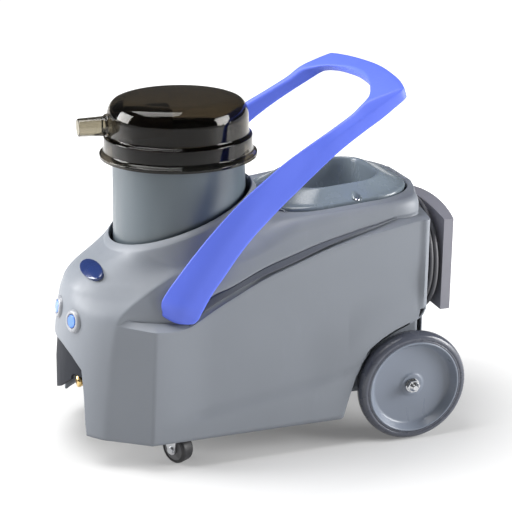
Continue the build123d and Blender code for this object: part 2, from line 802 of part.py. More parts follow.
def handle_plan():
    outer_low = (-far_reach / 3, handle_low_half)
    inner_low = (-far_reach / 3, handle_seat_half)
    seat_end = (handle_corner_x - 206.0, handle_seat_half)
    arm_end = (handle_arm_end, top_inner + 1.0)
    bend = (handle_inner_x - 19.0, top_inner - 11.0)
    crook = (handle_inner_x, top_inner - 35.0)
    corner = (handle_corner_x, handle_corner_half)
    half = [
        Line(outer_low, inner_low),
        Line(inner_low, seat_end),
        Line(seat_end, arm_end),
        ThreePointArc(arm_end, bend, crook),
    ]
    edges = half + [mirror(edge, about=Plane.XZ) for edge in half]
    edges += [
        ThreePointArc(crook, (handle_inner_apex, 0), near(crook)),
        Line(outer_low, corner),
        ThreePointArc(corner, (handle_corner_x + handle_bow, 0), near(corner)),
        Line(near(corner), near(outer_low)),
    ]
    return make_face(edges)


handle = prism_y(handle_side(0.0), -far_reach / 2, far_reach / 2)
handle &= extrude(handle_plan(), amount=far_reach)
bolt_points = [(axle_x - 384.0, 300.0), (axle_x - 351.0, 337.0)]
bolt_depth = 16.0
bolt_head = 5.0
bolt_head_r = bolt_r * 1.8
boss_r = 10.0
boss_depth = 14.0
boss_end = max(handle_seat_half - boss_depth, neck_foot_r + tank_gap + bolt_head)
bolt_hole_end = boss_end - bolt_head - shell_wall
handle_bolts = []
for x, z in bolt_points:
    for side in (-1, 1):
        tip = side * (handle_seat_half + bolt_depth)
        seat = side * boss_end
        body_shell += rod_y(boss_r, seat, side * handle_seat_half, x, z)
        hole = rod_y(bolt_r + seat_gap, side * bolt_hole_end, tip, x, z)
        handle -= hole
        body_shell -= hole
        bolt = rod_y(bolt_r, seat, tip - side * 0.5, x, z)
        bolt += rod_y(bolt_head_r, seat - side * bolt_head, seat, x, z)
        body_shell -= rod_y(bolt_head_r + seat_gap, seat - side * (bolt_head + body_gap), seat, x, z)
        handle_bolts.append(bolt)

# Push buttons on the nose, square to its surface
button_spots = {"near": (-63.0, 236.5), "far": (-2.0, 240.5)}
button_lean = 10.0
bezel_high = 4.0
barrel_r = button_r + 2.5
barrel_depth = 26.0
button_parts = {}
switch_nuts = []
switch_blocks = []
for name, (y, z) in button_spots.items():
    centre_x, radius = nose_circle(z)
    swing = math.degrees(math.asin(y / radius))
    x = centre_x - radius * math.cos(math.radians(swing))
    seat = Pos(x, y, z) * Rot(0, 0, -swing) * Rot(0, -90 + button_lean, 0) * Pos(0, 0, -1.2)
    body_shell -= seat * Cylinder(bezel_r + 1.0, 20.0, align=low_align)
    body_shell -= seat * Cylinder(barrel_r + seat_gap, 60.0)
    bezel = Cylinder(bezel_r, bezel_high, align=low_align)
    bezel = fillet(bezel.edges().group_by(Axis.Z)[-1], 2.5)
    bezel += Pos(0, 0, -barrel_depth) * Cylinder(barrel_r, barrel_depth, align=low_align)
    bezel -= Pos(0, 0, -barrel_depth) * Cylinder(button_r + running_gap, 2 * barrel_depth, align=low_align)
    cap = Pos(0, 0, -barrel_depth + button_travel + 3.0) * Cylinder(
        button_r, barrel_depth + bezel_high + button_reach - button_travel - 3.0, align=low_align
    )
    cap = fillet(cap.edges().group_by(Axis.Z)[-1], 1.5)
    nut = Pos(0, 0, -shell_wall - 8.0) * (
        Cylinder(barrel_r + 4.0, 4.0, align=low_align)
        - Cylinder(barrel_r + seat_gap, 4.0, align=low_align)
    )
    block = Pos(0, 0, -barrel_depth - 24.0) * Box(24.0, 20.0, 24.0, align=low_align)
    button_parts[name] = (seat * bezel, seat * cap)
    switch_nuts.append(seat * nut)
    switch_blocks.append(seat * block)

# Oval domed badge let into the bonnet
badge_y = -38.0
badge_z = 311.7
badge_x = nose_x + 61.2
badge_swing = 16.7
badge_lean = 33.0
badge_seat = Pos(badge_x, badge_y, badge_z) * Rot(0, 0, badge_swing) * Rot(0, -badge_lean, 0)
badge_sink = 5.0
badge_rise = 2.0
badge_face = Ellipse(badge_half_height, badge_half_length)
badge = extrude(badge_face, amount=badge_sink + badge_rise)
badge = fillet(badge.edges().group_by(Axis.Z)[-1], 2.4)
badge = badge_seat * Pos(0, 0, -badge_sink) * badge
badge_room = extrude(Ellipse(badge_half_height + seat_gap, badge_half_length + seat_gap), amount=30.0)
body_shell -= badge_seat * Pos(0, 0, -badge_sink) * badge_room

# Cord store: hub, flange, wound cable and plug
hub_front = seat_x
hub_back = seat_x + store_gap


def stadium(grow):
    return SlotCenterToCenter(2 * (hub_half_width - hub_half_height), 2 * (hub_half_height + grow))


cord_hub = prism_x(Pos(0, hub_z) * stadium(0.0), hub_front, hub_back)
cord_flange = prism_x(
    make_face(
        [
            Line((-flange_half, flange_low_z), (flange_half, flange_low_z)),
            Line((flange_half, flange_low_z), (flange_half, flange_side_z)),
            ThreePointArc((flange_half, flange_side_z), (0, flange_top_z), (-flange_half, flange_side_z)),
            Line((-flange_half, flange_side_z), (-flange_half, flange_low_z)),
        ]
    ),
    hub_back,
    tail_x,
)
flange_edge_x = tail_x - flange_bow
bow = make_face(
    [
        ThreePointArc((flange_edge_x, -flange_half - 1.0), (tail_x, 0), (flange_edge_x, flange_half + 1.0)),
        Line((flange_edge_x, flange_half + 1.0), (hub_back - 1.0, flange_half + 1.0)),
        Line((hub_back - 1.0, flange_half + 1.0), (hub_back - 1.0, -flange_half - 1.0)),
        Line((hub_back - 1.0, -flange_half - 1.0), (flange_edge_x, -flange_half - 1.0)),
    ]
)
cord_flange &= extrude(bow, amount=far_reach)

store_screws = []
store_bolt_r = 3.0
for y in (-45.0, 45.0):
    for z in (hub_z - 18.0, hub_z + 18.0):
        bore = rod_x(store_bolt_r + seat_gap, seat_x - 30.0, tail_x + 10.0, y, z)
        sink = rod_x(7.0, flange_edge_x - 8.0, tail_x + 10.0, y, z)
        cord_hub -= bore
        cord_flange -= bore + sink
        body_shell -= bore
        bolt = rod_x(store_bolt_r, seat_x - shell_wall - 8.0, flange_edge_x - 8.0, y, z)
        bolt += rod_x(6.0, flange_edge_x - 8.0, flange_edge_x - 4.0, y, z)
        store_screws.append(bolt)

winding_r = hub_half_height + core_grow + cable_r + 0.3
winding_straight = hub_half_width - hub_half_height
first_x = hub_front + cable_r + 0.6


def loop_point(turns, reach):
    """Point and unit tangent after some quarter turns of a loop that creeps along X."""
    length = 2 * math.pi * reach + 4 * winding_straight
    climb = cable_pitch / length
    quarter = int(round(turns * 4)) % 4
    whole = math.floor(turns + 1e-6)
    arc = math.pi * reach / 2
    marks = [0.0, winding_straight + arc, 2 * winding_straight + 2 * arc, 3 * winding_straight + 3 * arc]
    run = whole * length + marks[quarter]
    flat = [(0, -reach), (-winding_straight - reach, 0), (0, reach), (winding_straight + reach, 0)][quarter]
    heading = [(-1, 0), (0, 1), (1, 0), (0, -1)][quarter]
    level = math.sqrt(1 - climb ** 2)
    point = Vector(first_x + climb * run, flat[0], hub_z + flat[1])
    return point, Vector(climb, heading[0] * level, heading[1] * level), climb


def biarc(start, start_dir, end, end_dir):
    """Two arcs, tangent to each other and to the given directions."""
    span = end - start
    sum_dir = start_dir + end_dir
    spread = 2 * (1 - start_dir.dot(end_dir))
    along = span.dot(sum_dir)
    reach = (-along + math.sqrt(along ** 2 + spread * span.dot(span))) / spread
    middle = (start + start_dir * reach + end - end_dir * reach) * 0.5
    first = TangentArc([start, middle], tangent=start_dir)
    second = TangentArc([end, middle], tangent=end_dir * -1)
    return [first, second]


def winding_edges(reach, quarters, drop):
    """Loops from the bottom, up the near side and over; ends with a straight drop."""
    edges = []
    for i in range(quarters):
        p, d, climb = loop_point(i / 4, reach)
        q, e, _ = loop_point((i + 1) / 4, reach)
        run = winding_straight / math.sqrt(1 - climb ** 2)
        if i % 2 == 0:
            corner = p + d * run
            edges += [Line(p, corner)] + biarc(corner, d, q, e if i + 1 < quarters else Vector(0, 0, -1))
        else:
            corner = q - e * run
            edges += biarc(p, d, corner, e) + [Line(corner, q)]
    if drop > 0:
        edges.append(Line(q, q - Vector(0, 0, drop)))
    return edges


plug_drop = 62.0
winding_path = Wire(winding_edges(winding_r, winding_quarters, plug_drop))
winding_start, winding_dir, _ = loop_point(0.0, winding_r)
cable_section = Plane(origin=winding_start, z_dir=winding_dir) * Circle(cable_r)
power_cord = sweep(cable_section, path=winding_path)
samples = 900
path_points = [tuple(winding_path.position_at(i / samples)) for i in range(samples + 1)]
half_turn = 2 * samples // winding_quarters
self_gap = min(
    math.dist(path_points[i], path_points[j]) - 2 * cable_r
    for i in range(samples + 1)
    for j in range(i + half_turn, samples + 1)
)
print("winding: length", round(winding_path.length), "volume ratio",
      round(power_cord.volume / (math.pi * cable_r ** 2 * winding_path.length), 4),
      "least gap to itself", round(self_gap, 2))

gland_y = 24.0
gland_z = hub_z - hub_half_height - 11.0
cord_core = prism_x(
    Pos(0, hub_z) * (stadium(core_grow) - stadium(seat_gap)), hub_front + seat_gap, hub_back - seat_gap
)
cord_core -= Pos(hub_front, gland_y, gland_z) * Box(36.0, 22.0, 22.0)
cord_core += Pos(winding_start.X, 0, hub_z - hub_half_height - core_grow) * Box(
    2 * cable_r, 14.0, 2 * cable_r + 0.6, align=(Align.CENTER, Align.MIN, Align.CENTER)
) - Pos(winding_start.X, 0, hub_z - winding_r) * Box(20.0, 0.6, 20.0)
cord_gland = rod_x(9.0, hub_front, hub_front + 4.0, gland_y, gland_z)
cord_gland += rod_x(6.5, hub_front, hub_front + 14.0, gland_y, gland_z)
cord_gland += rod_x(5.0, hub_front - shell_wall - 8.0, hub_front, gland_y, gland_z)
body_shell -= rod_x(5.0 + seat_gap, hub_front - 30.0, hub_front + 10.0, gland_y, gland_z)

plug_top, _, _ = loop_point(winding_quarters / 4, winding_r)
plug_z = plug_top.Z - plug_drop
plug_body = Box(17.0, 30.0, 32.0, align=(Align.CENTER, Align.CENTER, Align.MAX))
plug_body = fillet(plug_body.edges().filter_by(Axis.Z), 6.0)
plug_body += Cone(8.0, 5.0, 14.0, align=(Align.CENTER, Align.CENTER, Align.MIN))
plug = Pos(0, 0, -14.0) * plug_body
for y in (-9.5, 9.5):
    plug += Pos(0, y, -46.0) * Cylinder(2.4, 19.0, align=(Align.CENTER, Align.CENTER, Align.MAX))
mains_plug = Pos(plug_top.X, plug_top.Y, plug_z) * plug

# Rear axle, wheels and their nuts
wheel_inner_y = wheel_outer_y - wheel_width
web_y = wheel_outer_y - 14.0
web_back = web_y - 6.0
hub_r = 18.0
bush_r = axle_r + bush_wall
cone_r = lip_r - 12.0
rim_wall = 4.0
tread_round = 10.0


def wheel_outline(side):
    points = [
        (bush_r + seat_gap, web_y + 2.0),
        (hub_r, web_y + 2.0),
        (hub_r + 3.0, web_y),
        (cone_r, web_y),
        (lip_r - 3.0, wheel_outer_y - 0.5),
        (lip_r, wheel_outer_y),
        (lip_r, wheel_inner_y + 4.0),
        (lip_r - rim_wall - 2.0, wheel_inner_y + 4.0),
        (cone_r - 1.0, web_back),
        (hub_r, web_back),
        (hub_r, wheel_inner_y - 1.0),
        (bush_r + seat_gap, wheel_inner_y - 1.0),
    ]
    return [(r, side * y) for r, y in points]


def tyre_shape(side):
    inner = lip_r + seat_gap
    low = wheel_inner_y
    high = wheel_outer_y - 0.5
    bow = wheel_r - tread_round * (1 - math.sqrt(0.5))
    turn = tread_round * (1 - math.sqrt(0.5))
    edges = [
        Line((inner, low + 4.0), (inner, high)),
        Line((inner, high), (wheel_r - tread_round, high)),
        ThreePointArc((wheel_r - tread_round, high), (bow, high - turn), (wheel_r, high - tread_round)),
        Line((wheel_r, high - tread_round), (wheel_r, low + tread_round)),
        ThreePointArc((wheel_r, low + tread_round), (bow, low + turn), (wheel_r - tread_round, low)),
        Line((wheel_r - tread_round, low), (inner, low + 4.0)),
    ]
    ring = revolve(make_face(edges), axis=Axis.Y)
    ring = ring if side > 0 else mirror(ring, about=Plane.XZ)
    return Pos(axle_x, 0, axle_z) * ring


axle_end = web_y + 12.0
bush_outer = web_y + 2.0
bush_inner = wheel_inner_y - 1.0
rear_axle = rod_y(axle_r, -axle_end, axle_end, axle_x, axle_z)
wheels = {}
axle_nuts = []
washer_high = 2.0
washer_r = 12.0
nut_high = 9.0
for name, side in (("near", -1), ("far", 1)):
    hub = spin_y(wheel_outline(side), axle_x, axle_z)
    rib_count = 6
    for i in range(rib_count):
        rib = Pos(axle_x, 0, axle_z) * Rot(0, 60.0 * i, 0)
        bar = Box(cone_r - hub_r - 2.0, 18.0, 4.0)
        hub += rib * Pos((hub_r + cone_r) / 2, side * (web_back - 8.0), 0) * bar
    bush = rod_y(bush_r, side * bush_inner, side * bush_outer, axle_x, axle_z)
    bush -= rod_y(axle_r + running_gap, side * (bush_inner - 5.0), side * (bush_outer + 5.0), axle_x, axle_z)
    wheels[name] = (hub, tyre_shape(side), bush)
    start = bush_outer + body_gap
    washer = rod_y(washer_r, side * start, side * (start + washer_high), axle_x, axle_z)
    axle_nuts.append(washer - rod_y(axle_r + seat_gap, side * start, side * far_reach, axle_x, axle_z))
    nut_face = start + washer_high
    nut = Pos(axle_x, side * nut_face, axle_z) * Rot(-90 * side, 0, 0) * (
        extrude(RegularPolygon(nut_across / 2, 6, major_radius=False), amount=nut_high - 2.0)
        + Pos(0, 0, nut_high - 2.0) * Cone(nut_across / 2 - 1.0, 4.0, 6.0, align=low_align)
    )
    bore = rod_y(axle_r + seat_gap, side * (nut_face - 1.0), side * (axle_end + 0.2), axle_x, axle_z)
    axle_nuts.append(nut - bore)
    rear_axle += rod_y(axle_r + 3.0, side * housing_half, side * (bush_inner - body_gap), axle_x, axle_z)

bracket_y = base_tail_half - 14.0
bracket_long = 44.0
bracket_rise = 20.0
axle_brackets = []
for side in (-1, 1):
    plate_high = axle_z + bracket_rise - base_top
    plate = Pos(axle_x, side * bracket_y, base_top) * Box(bracket_long, 5.0, plate_high, align=low_align)
    foot = Pos(axle_x, side * (bracket_y - 12.0), base_top) * Box(bracket_long, 24.0, 4.0, align=low_align)
    hole = rod_y(axle_r + seat_gap, side * (bracket_y - 40.0), side * wheel_outer_y, axle_x, axle_z)
    axle_brackets.append(plate + foot - hole)
axle_room = Pos(axle_x, 0, axle_z) * Box(26.0, 2 * base_tail_half + 8.0, 2 * (axle_r + 1.0))
base_plate -= axle_room - Pos(0, 0, base_top) * Box(2 * far_reach, 2 * far_reach, far_reach, align=low_align)

# Casters, swivelled as they came to rest
caster_top = base_z
race_z = caster_top - 3.0
crown_z = race_z - 9.0
fork_wall = 2.5
fork_gap = caster_width / 2 + 2.0
king_r = 5.0
caster_axle_r = 3.0
casters = {}
for name, side in (("near", -1), ("far", 1)):
    place = Pos(caster_x, side * caster_y, 0) * Rot(0, 0, side * (90 - caster_turn))
    plate = Pos(caster_x, side * caster_y, race_z) * Box(caster_plate, caster_plate, 3.0, align=low_align)
    plate += Pos(caster_x, side * caster_y, race_z - 3.0) * Cylinder(16.0, 3.0, align=low_align)
    plate += Pos(caster_x, side * caster_y, crown_z - 4.0) * Cylinder(king_r, 6.0 + 4.0, align=low_align)
    plate += Pos(caster_x, side * caster_y, crown_z - 4.0) * Cylinder(king_r + 3.0, 3.0, align=low_align)
    fork = Pos(0, 0, crown_z) * Cylinder(17.0, race_z - 3.0 - body_gap - crown_z, align=low_align)
    crown = Box(46.0, 2 * (fork_gap + fork_wall), fork_wall, align=low_align)
    fork += Pos(9.0, 0, crown_z) * crown
    cheek = make_face(
        [
            Line((-10, crown_z + fork_wall), (32, crown_z + fork_wall)),
            Line((32, crown_z + fork_wall), (caster_trail + 8.0, caster_wheel_r)),
            ThreePointArc(
                (caster_trail + 8.0, caster_wheel_r),
                (caster_trail, caster_wheel_r - 8.0),
                (caster_trail - 8.0, caster_wheel_r),
            ),
            Line((caster_trail - 8.0, caster_wheel_r), (-10, crown_z + fork_wall)),
        ]
    )
    for y in (-1, 1):
        fork += prism_y(cheek, y * fork_gap, y * (fork_gap + fork_wall))
    fork -= Cylinder(king_r + running_gap, 400.0)
    fork -= rod_y(caster_axle_r + seat_gap, -60.0, 60.0, caster_trail, caster_wheel_r)
    bolt_end = fork_gap + fork_wall
    axle = rod_y(caster_axle_r, -bolt_end, bolt_end + 4.0, caster_trail, caster_wheel_r)
    axle += rod_y(5.5, -bolt_end - 3.0, -bolt_end, caster_trail, caster_wheel_r)
    nut = extrude(RegularPolygon(6.0, 6), amount=4.0)
    axle += Pos(caster_trail, bolt_end, caster_wheel_r) * Rot(-90, 0, 0) * nut
    hub_half = caster_width / 2
    wheel = rod_y(caster_wheel_r - 6.0, -hub_half + 1.0, hub_half - 1.0, caster_trail, caster_wheel_r)
    wheel += rod_y(8.0, -fork_gap + 0.3, fork_gap - 0.3, caster_trail, caster_wheel_r)
    wheel -= rod_y(caster_axle_r + running_gap, -60.0, 60.0, caster_trail, caster_wheel_r)
    ring = Rot(90, 0, 0) * Cylinder(caster_wheel_r, caster_width)
    ring = fillet(ring.edges().filter_by(GeomType.CIRCLE), 5.0)
    ring = Pos(caster_trail, 0, caster_wheel_r) * ring
    tread = ring - rod_y(caster_wheel_r - 6.0 + seat_gap, -60.0, 60.0, caster_trail, caster_wheel_r)
    casters[name] = (plate, place * fork, place * axle, place * wheel, place * tread)

for name, side in (("near", -1), ("far", 1)):
    plate, fork, axle, wheel, tread = casters[name]
    for dx in (-1, 1):
        for dy in (-1, 1):
            x = caster_x + dx * (caster_plate / 2 - 5.0)
            y = side * caster_y + dy * (caster_plate / 2 - 5.0)
            hole = Pos(x, y, caster_top) * Cylinder(screw_r + seat_gap, 30.0)
            plate -= hole
            base_plate -= hole
            screw = Pos(x, y, base_top) * Cylinder(4.0, 3.0, align=low_align)
            screw += Pos(x, y, race_z) * Cylinder(screw_r, base_top - race_z, align=low_align)
            base_screws.append(screw)
    casters[name] = (plate, fork, axle, wheel, tread)

# Vacuum motor: can on the base, fan housing over it, rotor inside both
fan_top = tank_floor_z - 4.0
fan_low = fan_top - fan_height
can = tube_z(motor_r, motor_r - motor_wall, base_top, fan_low, pipe_x)
can += tube_z(motor_r, shaft_r + running_gap, base_top, base_top + 5.0, pipe_x)
vacuum_motor = can
fan_housing = tube_z(fan_r, fan_r - motor_wall, fan_low, fan_top, pipe_x)
fan_housing += tube_z(fan_r, shaft_r + running_gap, fan_low, fan_low + 4.0, pipe_x)
fan_housing += tube_z(fan_r, pipe_r - pipe_wall, fan_top - 4.0, fan_top, pipe_x)
port_z = fan_low + 26.0
port = rod_y(17.0, 0.0, fan_r + 18.0, pipe_x + 20.0, port_z)
port -= Pos(pipe_x, 0, fan_low) * Cylinder(fan_r - motor_wall, fan_height, align=low_align)
fan_housing += port
fan_housing -= rod_y(14.0, 30.0, fan_r + 30.0, pipe_x + 20.0, port_z)
motor_gasket = tube_z(fan_r - 6.0, pipe_r + 6.0, fan_top, tank_floor_z, pipe_x)
rotor_low = base_top + 1.0
fan_rotor = Pos(pipe_x, 0, rotor_low) * Cylinder(shaft_r, fan_top - 14.0 - rotor_low, align=low_align)
armature_r = motor_r - motor_wall - 12.0
fan_rotor += Pos(pipe_x, 0, base_top + 6.0) * Cylinder(armature_r, fan_low - base_top - 16.0, align=low_align)
blade_low = fan_low + 10.0
fan_rotor += Pos(pipe_x, 0, blade_low) * Cylinder(fan_r - 10.0, 3.0, align=low_align)
blade_count = 9
for i in range(blade_count):
    spot = Pos(pipe_x, 0, blade_low) * Rot(0, 0, 360.0 * i / blade_count)
    fan_rotor += spot * Pos(38.0, 0, 0) * Rot(0, 0, 24) * Box(40.0, 2.5, fan_height - 26.0, align=low_align)

# Solution pump and its hoses
pump_x = axle_x - 112.0
pump_y = -30.0
pump_half = 34.0
pump_z = base_top + 40.0
pump = Pos(pump_x + 10.0, pump_y, base_top) * Box(96.0, 50.0, 6.0, align=low_align)
pump += rod_x(pump_half - 2.0, pump_x - 20.0, pump_x + 84.0, pump_y, pump_z)
pump += Pos(pump_x - 42.0, pump_y, base_top + 6.0) * Box(44.0, 2 * pump_half, 68.0, align=low_align)
pump += Pos(pump_x + 10.0, pump_y, base_top + 4.0) * Box(70.0, 30.0, 14.0, align=low_align)
spigot_r = 6.0
suction_x = pump_x - 42.0
pump += Pos(suction_x, pump_y + 16.0, base_top + 60.0) * Cylinder(spigot_r, 30.0, align=low_align)
pump_out_z = base_top + 52.0
pump += rod_x(spigot_r, pump_x - 84.0, pump_x - 42.0, pump_y - 16.0, pump_out_z)
hose_r = 8.0
tank_spigot_low = tank_floor_z - 16.0
spout = Pos(suction_x, pump_y + 16.0, tank_spigot_low) * Cylinder(spigot_r, 20.0, align=low_align)
solution_tank += spout
solution_tank -= Pos(suction_x, pump_y + 16.0, tank_spigot_low - 1.0) * Cylinder(4.0, 40.0, align=low_align)
suction_hose = tube_z(
    hose_r, spigot_r + seat_gap, base_top + 78.0, tank_floor_z - 2.0, suction_x, pump_y + 16.0
)
coupler_tail = bracket_x + 24.0
hose_route = [
    (pump_x - 66.0, pump_y - 16.0, pump_out_z),
    (pump_x - 120.0, pump_y - 16.0, pump_out_z),
    (pump_x - 175.0, pump_y - 50.0, pump_out_z - 6.0),
    (pump_x - 250.0, -112.0, coupler_z - 8.0),
    (pump_x - 310.0, -100.0, coupler_z),
    (coupler_tail + 30.0, coupler_y, coupler_z),
    (coupler_tail, coupler_y, coupler_z),
]


def route_radii(points):
    """Largest tangent arc at each corner: 0.45 of the shorter run over tan(half the turn)."""
    radii = []
    for a, b, c in zip(points, points[1:], points[2:]):
        before = Vector(*b) - Vector(*a)
        after = Vector(*c) - Vector(*b)
        turn = math.radians(before.get_angle(after))
        radii.append(0.45 * min(before.length, after.length) / math.tan(turn / 2))
    return radii


hose_path = FilletPolyline(*hose_route, radius=route_radii(hose_route))
hose_start = Plane(origin=hose_route[0], z_dir=(-1, 0, 0))
outlet_hose = sweep(hose_start * Circle(hose_r), path=hose_path)
outlet_hose -= sweep(hose_start * Circle(spigot_r + seat_gap), path=hose_path)
print("outlet hose radii", [round(r) for r in route_radii(hose_route)])

nodes = {
    "body_shell": body_shell,
    "base_plate": base_plate,
    "base_screws": group(base_screws),
    "front_valance": valance,
    "coupler_bracket": coupler_bracket,
    "quick_coupler": quick_coupler,
    "coupler_nut": coupler_nut,
    "recovery_tank": recovery_tank,
    "standpipe": standpipe,
    "pipe_cap": pipe_cap,
    "float_ring": float_ring,
    "lid": lid,
    "lid_gasket": lid_gasket,
    "inlet_hood": inlet_hood,
    "solution_tank": solution_tank,
    "filler_funnel": filler_funnel,
    "filler_strainer": strainer,
    "tank_screws": group(tank_screws),
    "handle": handle,
    "handle_bolts": group(handle_bolts),
    "front_badge": badge,
    "switch_nuts": group(switch_nuts),
    "switch_blocks": group(switch_blocks),
    "cord_hub": cord_hub,
    "cord_flange": cord_flange,
    "store_screws": group(store_screws),
    "cord_core": cord_core,
    "power_cord": power_cord,
    "cord_gland": cord_gland,
    "mains_plug": mains_plug,
    "rear_axle": rear_axle,
    "axle_brackets": group(axle_brackets),
    "axle_nuts": group(axle_nuts),
    "vacuum_motor": vacuum_motor,
    "fan_housing": fan_housing,
    "motor_gasket": motor_gasket,
    "fan_rotor": fan_rotor,
    "solution_pump": pump,
    "suction_hose": suction_hose,
    "outlet_hose": outlet_hose,
}
for name, (bezel, cap) in button_parts.items():
    nodes["button_bezel_" + name] = bezel
    nodes["button_cap_" + name] = cap
for name, (hub, tyre, bush) in wheels.items():
    nodes["wheel_hub_" + name] = hub
    nodes["wheel_tyre_" + name] = tyre
    nodes["wheel_bush_" + name] = bush
for name, (plate, fork, axle, wheel, tread) in casters.items():
    nodes["caster_plate_" + name] = plate
    nodes["caster_fork_" + name] = fork
    nodes["caster_axle_" + name] = axle
    nodes["caster_wheel_" + name] = wheel
    nodes["caster_tyre_" + name] = tread

for name, solid in nodes.items():
    export_step(solid, os.path.join("parts", name + ".step"))
print(len(nodes), "nodes written")
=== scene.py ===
import json

import bmesh
import bpy
import numpy as np
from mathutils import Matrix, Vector


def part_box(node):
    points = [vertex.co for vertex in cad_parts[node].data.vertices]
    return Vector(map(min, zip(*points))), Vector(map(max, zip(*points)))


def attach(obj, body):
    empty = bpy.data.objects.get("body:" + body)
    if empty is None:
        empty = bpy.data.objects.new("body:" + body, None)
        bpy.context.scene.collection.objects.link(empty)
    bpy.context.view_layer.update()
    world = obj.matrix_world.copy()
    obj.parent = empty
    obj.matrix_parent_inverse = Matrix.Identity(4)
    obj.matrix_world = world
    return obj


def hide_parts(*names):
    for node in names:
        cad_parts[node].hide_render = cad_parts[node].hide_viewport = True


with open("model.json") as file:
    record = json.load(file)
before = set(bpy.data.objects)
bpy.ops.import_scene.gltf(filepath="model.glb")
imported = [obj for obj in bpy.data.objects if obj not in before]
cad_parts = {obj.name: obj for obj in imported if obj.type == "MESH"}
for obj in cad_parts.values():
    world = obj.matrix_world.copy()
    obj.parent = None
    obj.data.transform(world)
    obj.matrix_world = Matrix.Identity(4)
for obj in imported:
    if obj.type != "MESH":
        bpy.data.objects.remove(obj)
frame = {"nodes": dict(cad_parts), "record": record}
scene = bpy.context.scene
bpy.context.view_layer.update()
axleLow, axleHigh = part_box("rear_axle")

# lengths below are millimetres with the axle at X 232.5, shiftX brings them to the frame
shiftX = (axleLow.x + axleHigh.x) * 500 - 232.5
print("frame loaded, X shift in mm", round(shiftX, 3))


class Sock:
    def __init__(self, finish, socket):
        self.finish = finish
        self.socket = socket

    def __add__(self, other):
        return self.finish.math("ADD", self, other)

    def __mul__(self, other):
        return self.finish.math("MULTIPLY", self, other)


class Finish:
    def __init__(self, name):
        self.material = bpy.data.materials.new(name)
        self.material.use_nodes = True
        self.tree = self.material.node_tree
        self.tree.nodes.clear()
        output = self.tree.nodes.new("ShaderNodeOutputMaterial")
        self.shader = self.tree.nodes.new("ShaderNodeBsdfPrincipled")
        self.tree.links.new(self.shader.outputs[0], output.inputs[0])

    def node(self, kind, settings, sockets, out=0):
        made = self.tree.nodes.new(kind)
        for key, value in settings.items():
            setattr(made, key, value)
        for key, value in sockets.items():
            self.feed(made.inputs[key], value)
        return Sock(self, made.outputs[out])

    def feed(self, socket, value):
        if isinstance(value, Sock):
            self.tree.links.new(value.socket, socket)
        else:
            socket.default_value = value

    def math(self, operation, a, b):
        return self.node("ShaderNodeMath", {"operation": operation}, {0: a, 1: b})

    def place(self, scale=(1, 1, 1)):
        spot = self.node("ShaderNodeTexCoord", {}, {}, 3)
        return self.node("ShaderNodeMapping", {}, {"Vector": spot, "Scale": scale})

    def noise(self, scale, detail=2.0, stretch=(1, 1, 1)):
        sockets = {"Vector": self.place(stretch), "Scale": scale, "Detail": detail}
        return self.node("ShaderNodeTexNoise", {}, sockets)

    def span(self, value, low, high, toLow=0.0, toHigh=1.0):
        sockets = {0: value, 1: low, 2: high, 3: toLow, 4: toHigh}
        return self.node("ShaderNodeMapRange", {}, sockets)

    def mix(self, factor, a, b):
        return self.node("ShaderNodeMix", {"data_type": "RGBA"}, {0: factor, 6: a, 7: b}, 2)

    def bump(self, height, strength, distance):
        sockets = {"Height": height, "Strength": strength, "Distance": distance}
        return self.node("ShaderNodeBump", {}, sockets)

    def along(self, axis):
        return self.node("ShaderNodeSeparateXYZ", {}, {0: self.place()}, axis)

    def set(self, **values):
        for key, value in values.items():
            self.feed(self.shader.inputs[key.replace("_", " ")], value)


def shade(colour, times):
    return (*(min(1.0, c * times) for c in colour), 1.0)


# moulded plastic: fine spark-eroded grain, faint cloudiness and rub marks
def moulded(name, colour, rough, depth=0.10, cloud=0.05, coat=0.0, gleam=0.5):
    f = Finish(name)
    clouds = f.noise(9.0, 3.0)
    fine = f.noise(900.0)
    scuff = f.noise(60.0, 4.0, (1, 1, 0.25))
    base = f.mix(clouds, shade(colour, 1 - cloud), shade(colour, 1 + cloud))
    worn = f.span(scuff, 0.62, 0.8) * 0.12
    tone = f.mix(worn, base, shade(colour, 1.35))
    roughness = f.span(scuff, 0.3, 0.75, rough - 0.05, rough + 0.07)
    f.set(Base_Color=tone, Roughness=roughness, Specular_IOR_Level=gleam)
    f.set(Normal=f.bump(fine, depth, 0.0004))
    if coat:
        f.set(Coat_Weight=coat, Coat_Roughness=0.15)
    return f.material


# metal: brushed along one way, with duller patches
def metal(name, colour, rough, stretch=(1, 1, 1), depth=0.05):
    f = Finish(name)
    brushed = f.noise(700.0, 3.0, stretch)
    patch = f.noise(45.0, 3.0)
    tone = f.mix(patch, shade(colour, 0.88), shade(colour, 1.06))
    roughness = f.span(patch + brushed * 0.4, 0.4, 0.95, rough - 0.06, rough + 0.12)
    f.set(Base_Color=tone, Metallic=1.0, Roughness=roughness, Normal=f.bump(brushed, depth, 0.0003))
    return f.material


# rubber: matt, mottled, with pale dust
def rubber(name, colour, rough=0.72, dust=0.2):
    f = Finish(name)
    mottle = f.noise(38.0, 4.0)
    fine = f.noise(650.0)
    dusty = f.span(mottle, 0.5, 0.78) * dust
    tone = f.mix(dusty, shade(colour, 1.0), (0.34, 0.34, 0.35, 1))
    f.set(Base_Color=tone, Roughness=f.span(mottle, 0.3, 0.7, rough - 0.08, rough + 0.1))
    f.set(Normal=f.bump(fine + mottle * 0.3, 0.16, 0.0004))
    return f.material


# metres of height where the lid's skirt gives way to its dome, and how dark the skirt is
skirt = {"low": 0.508, "high": 0.518, "shade": 0.4}


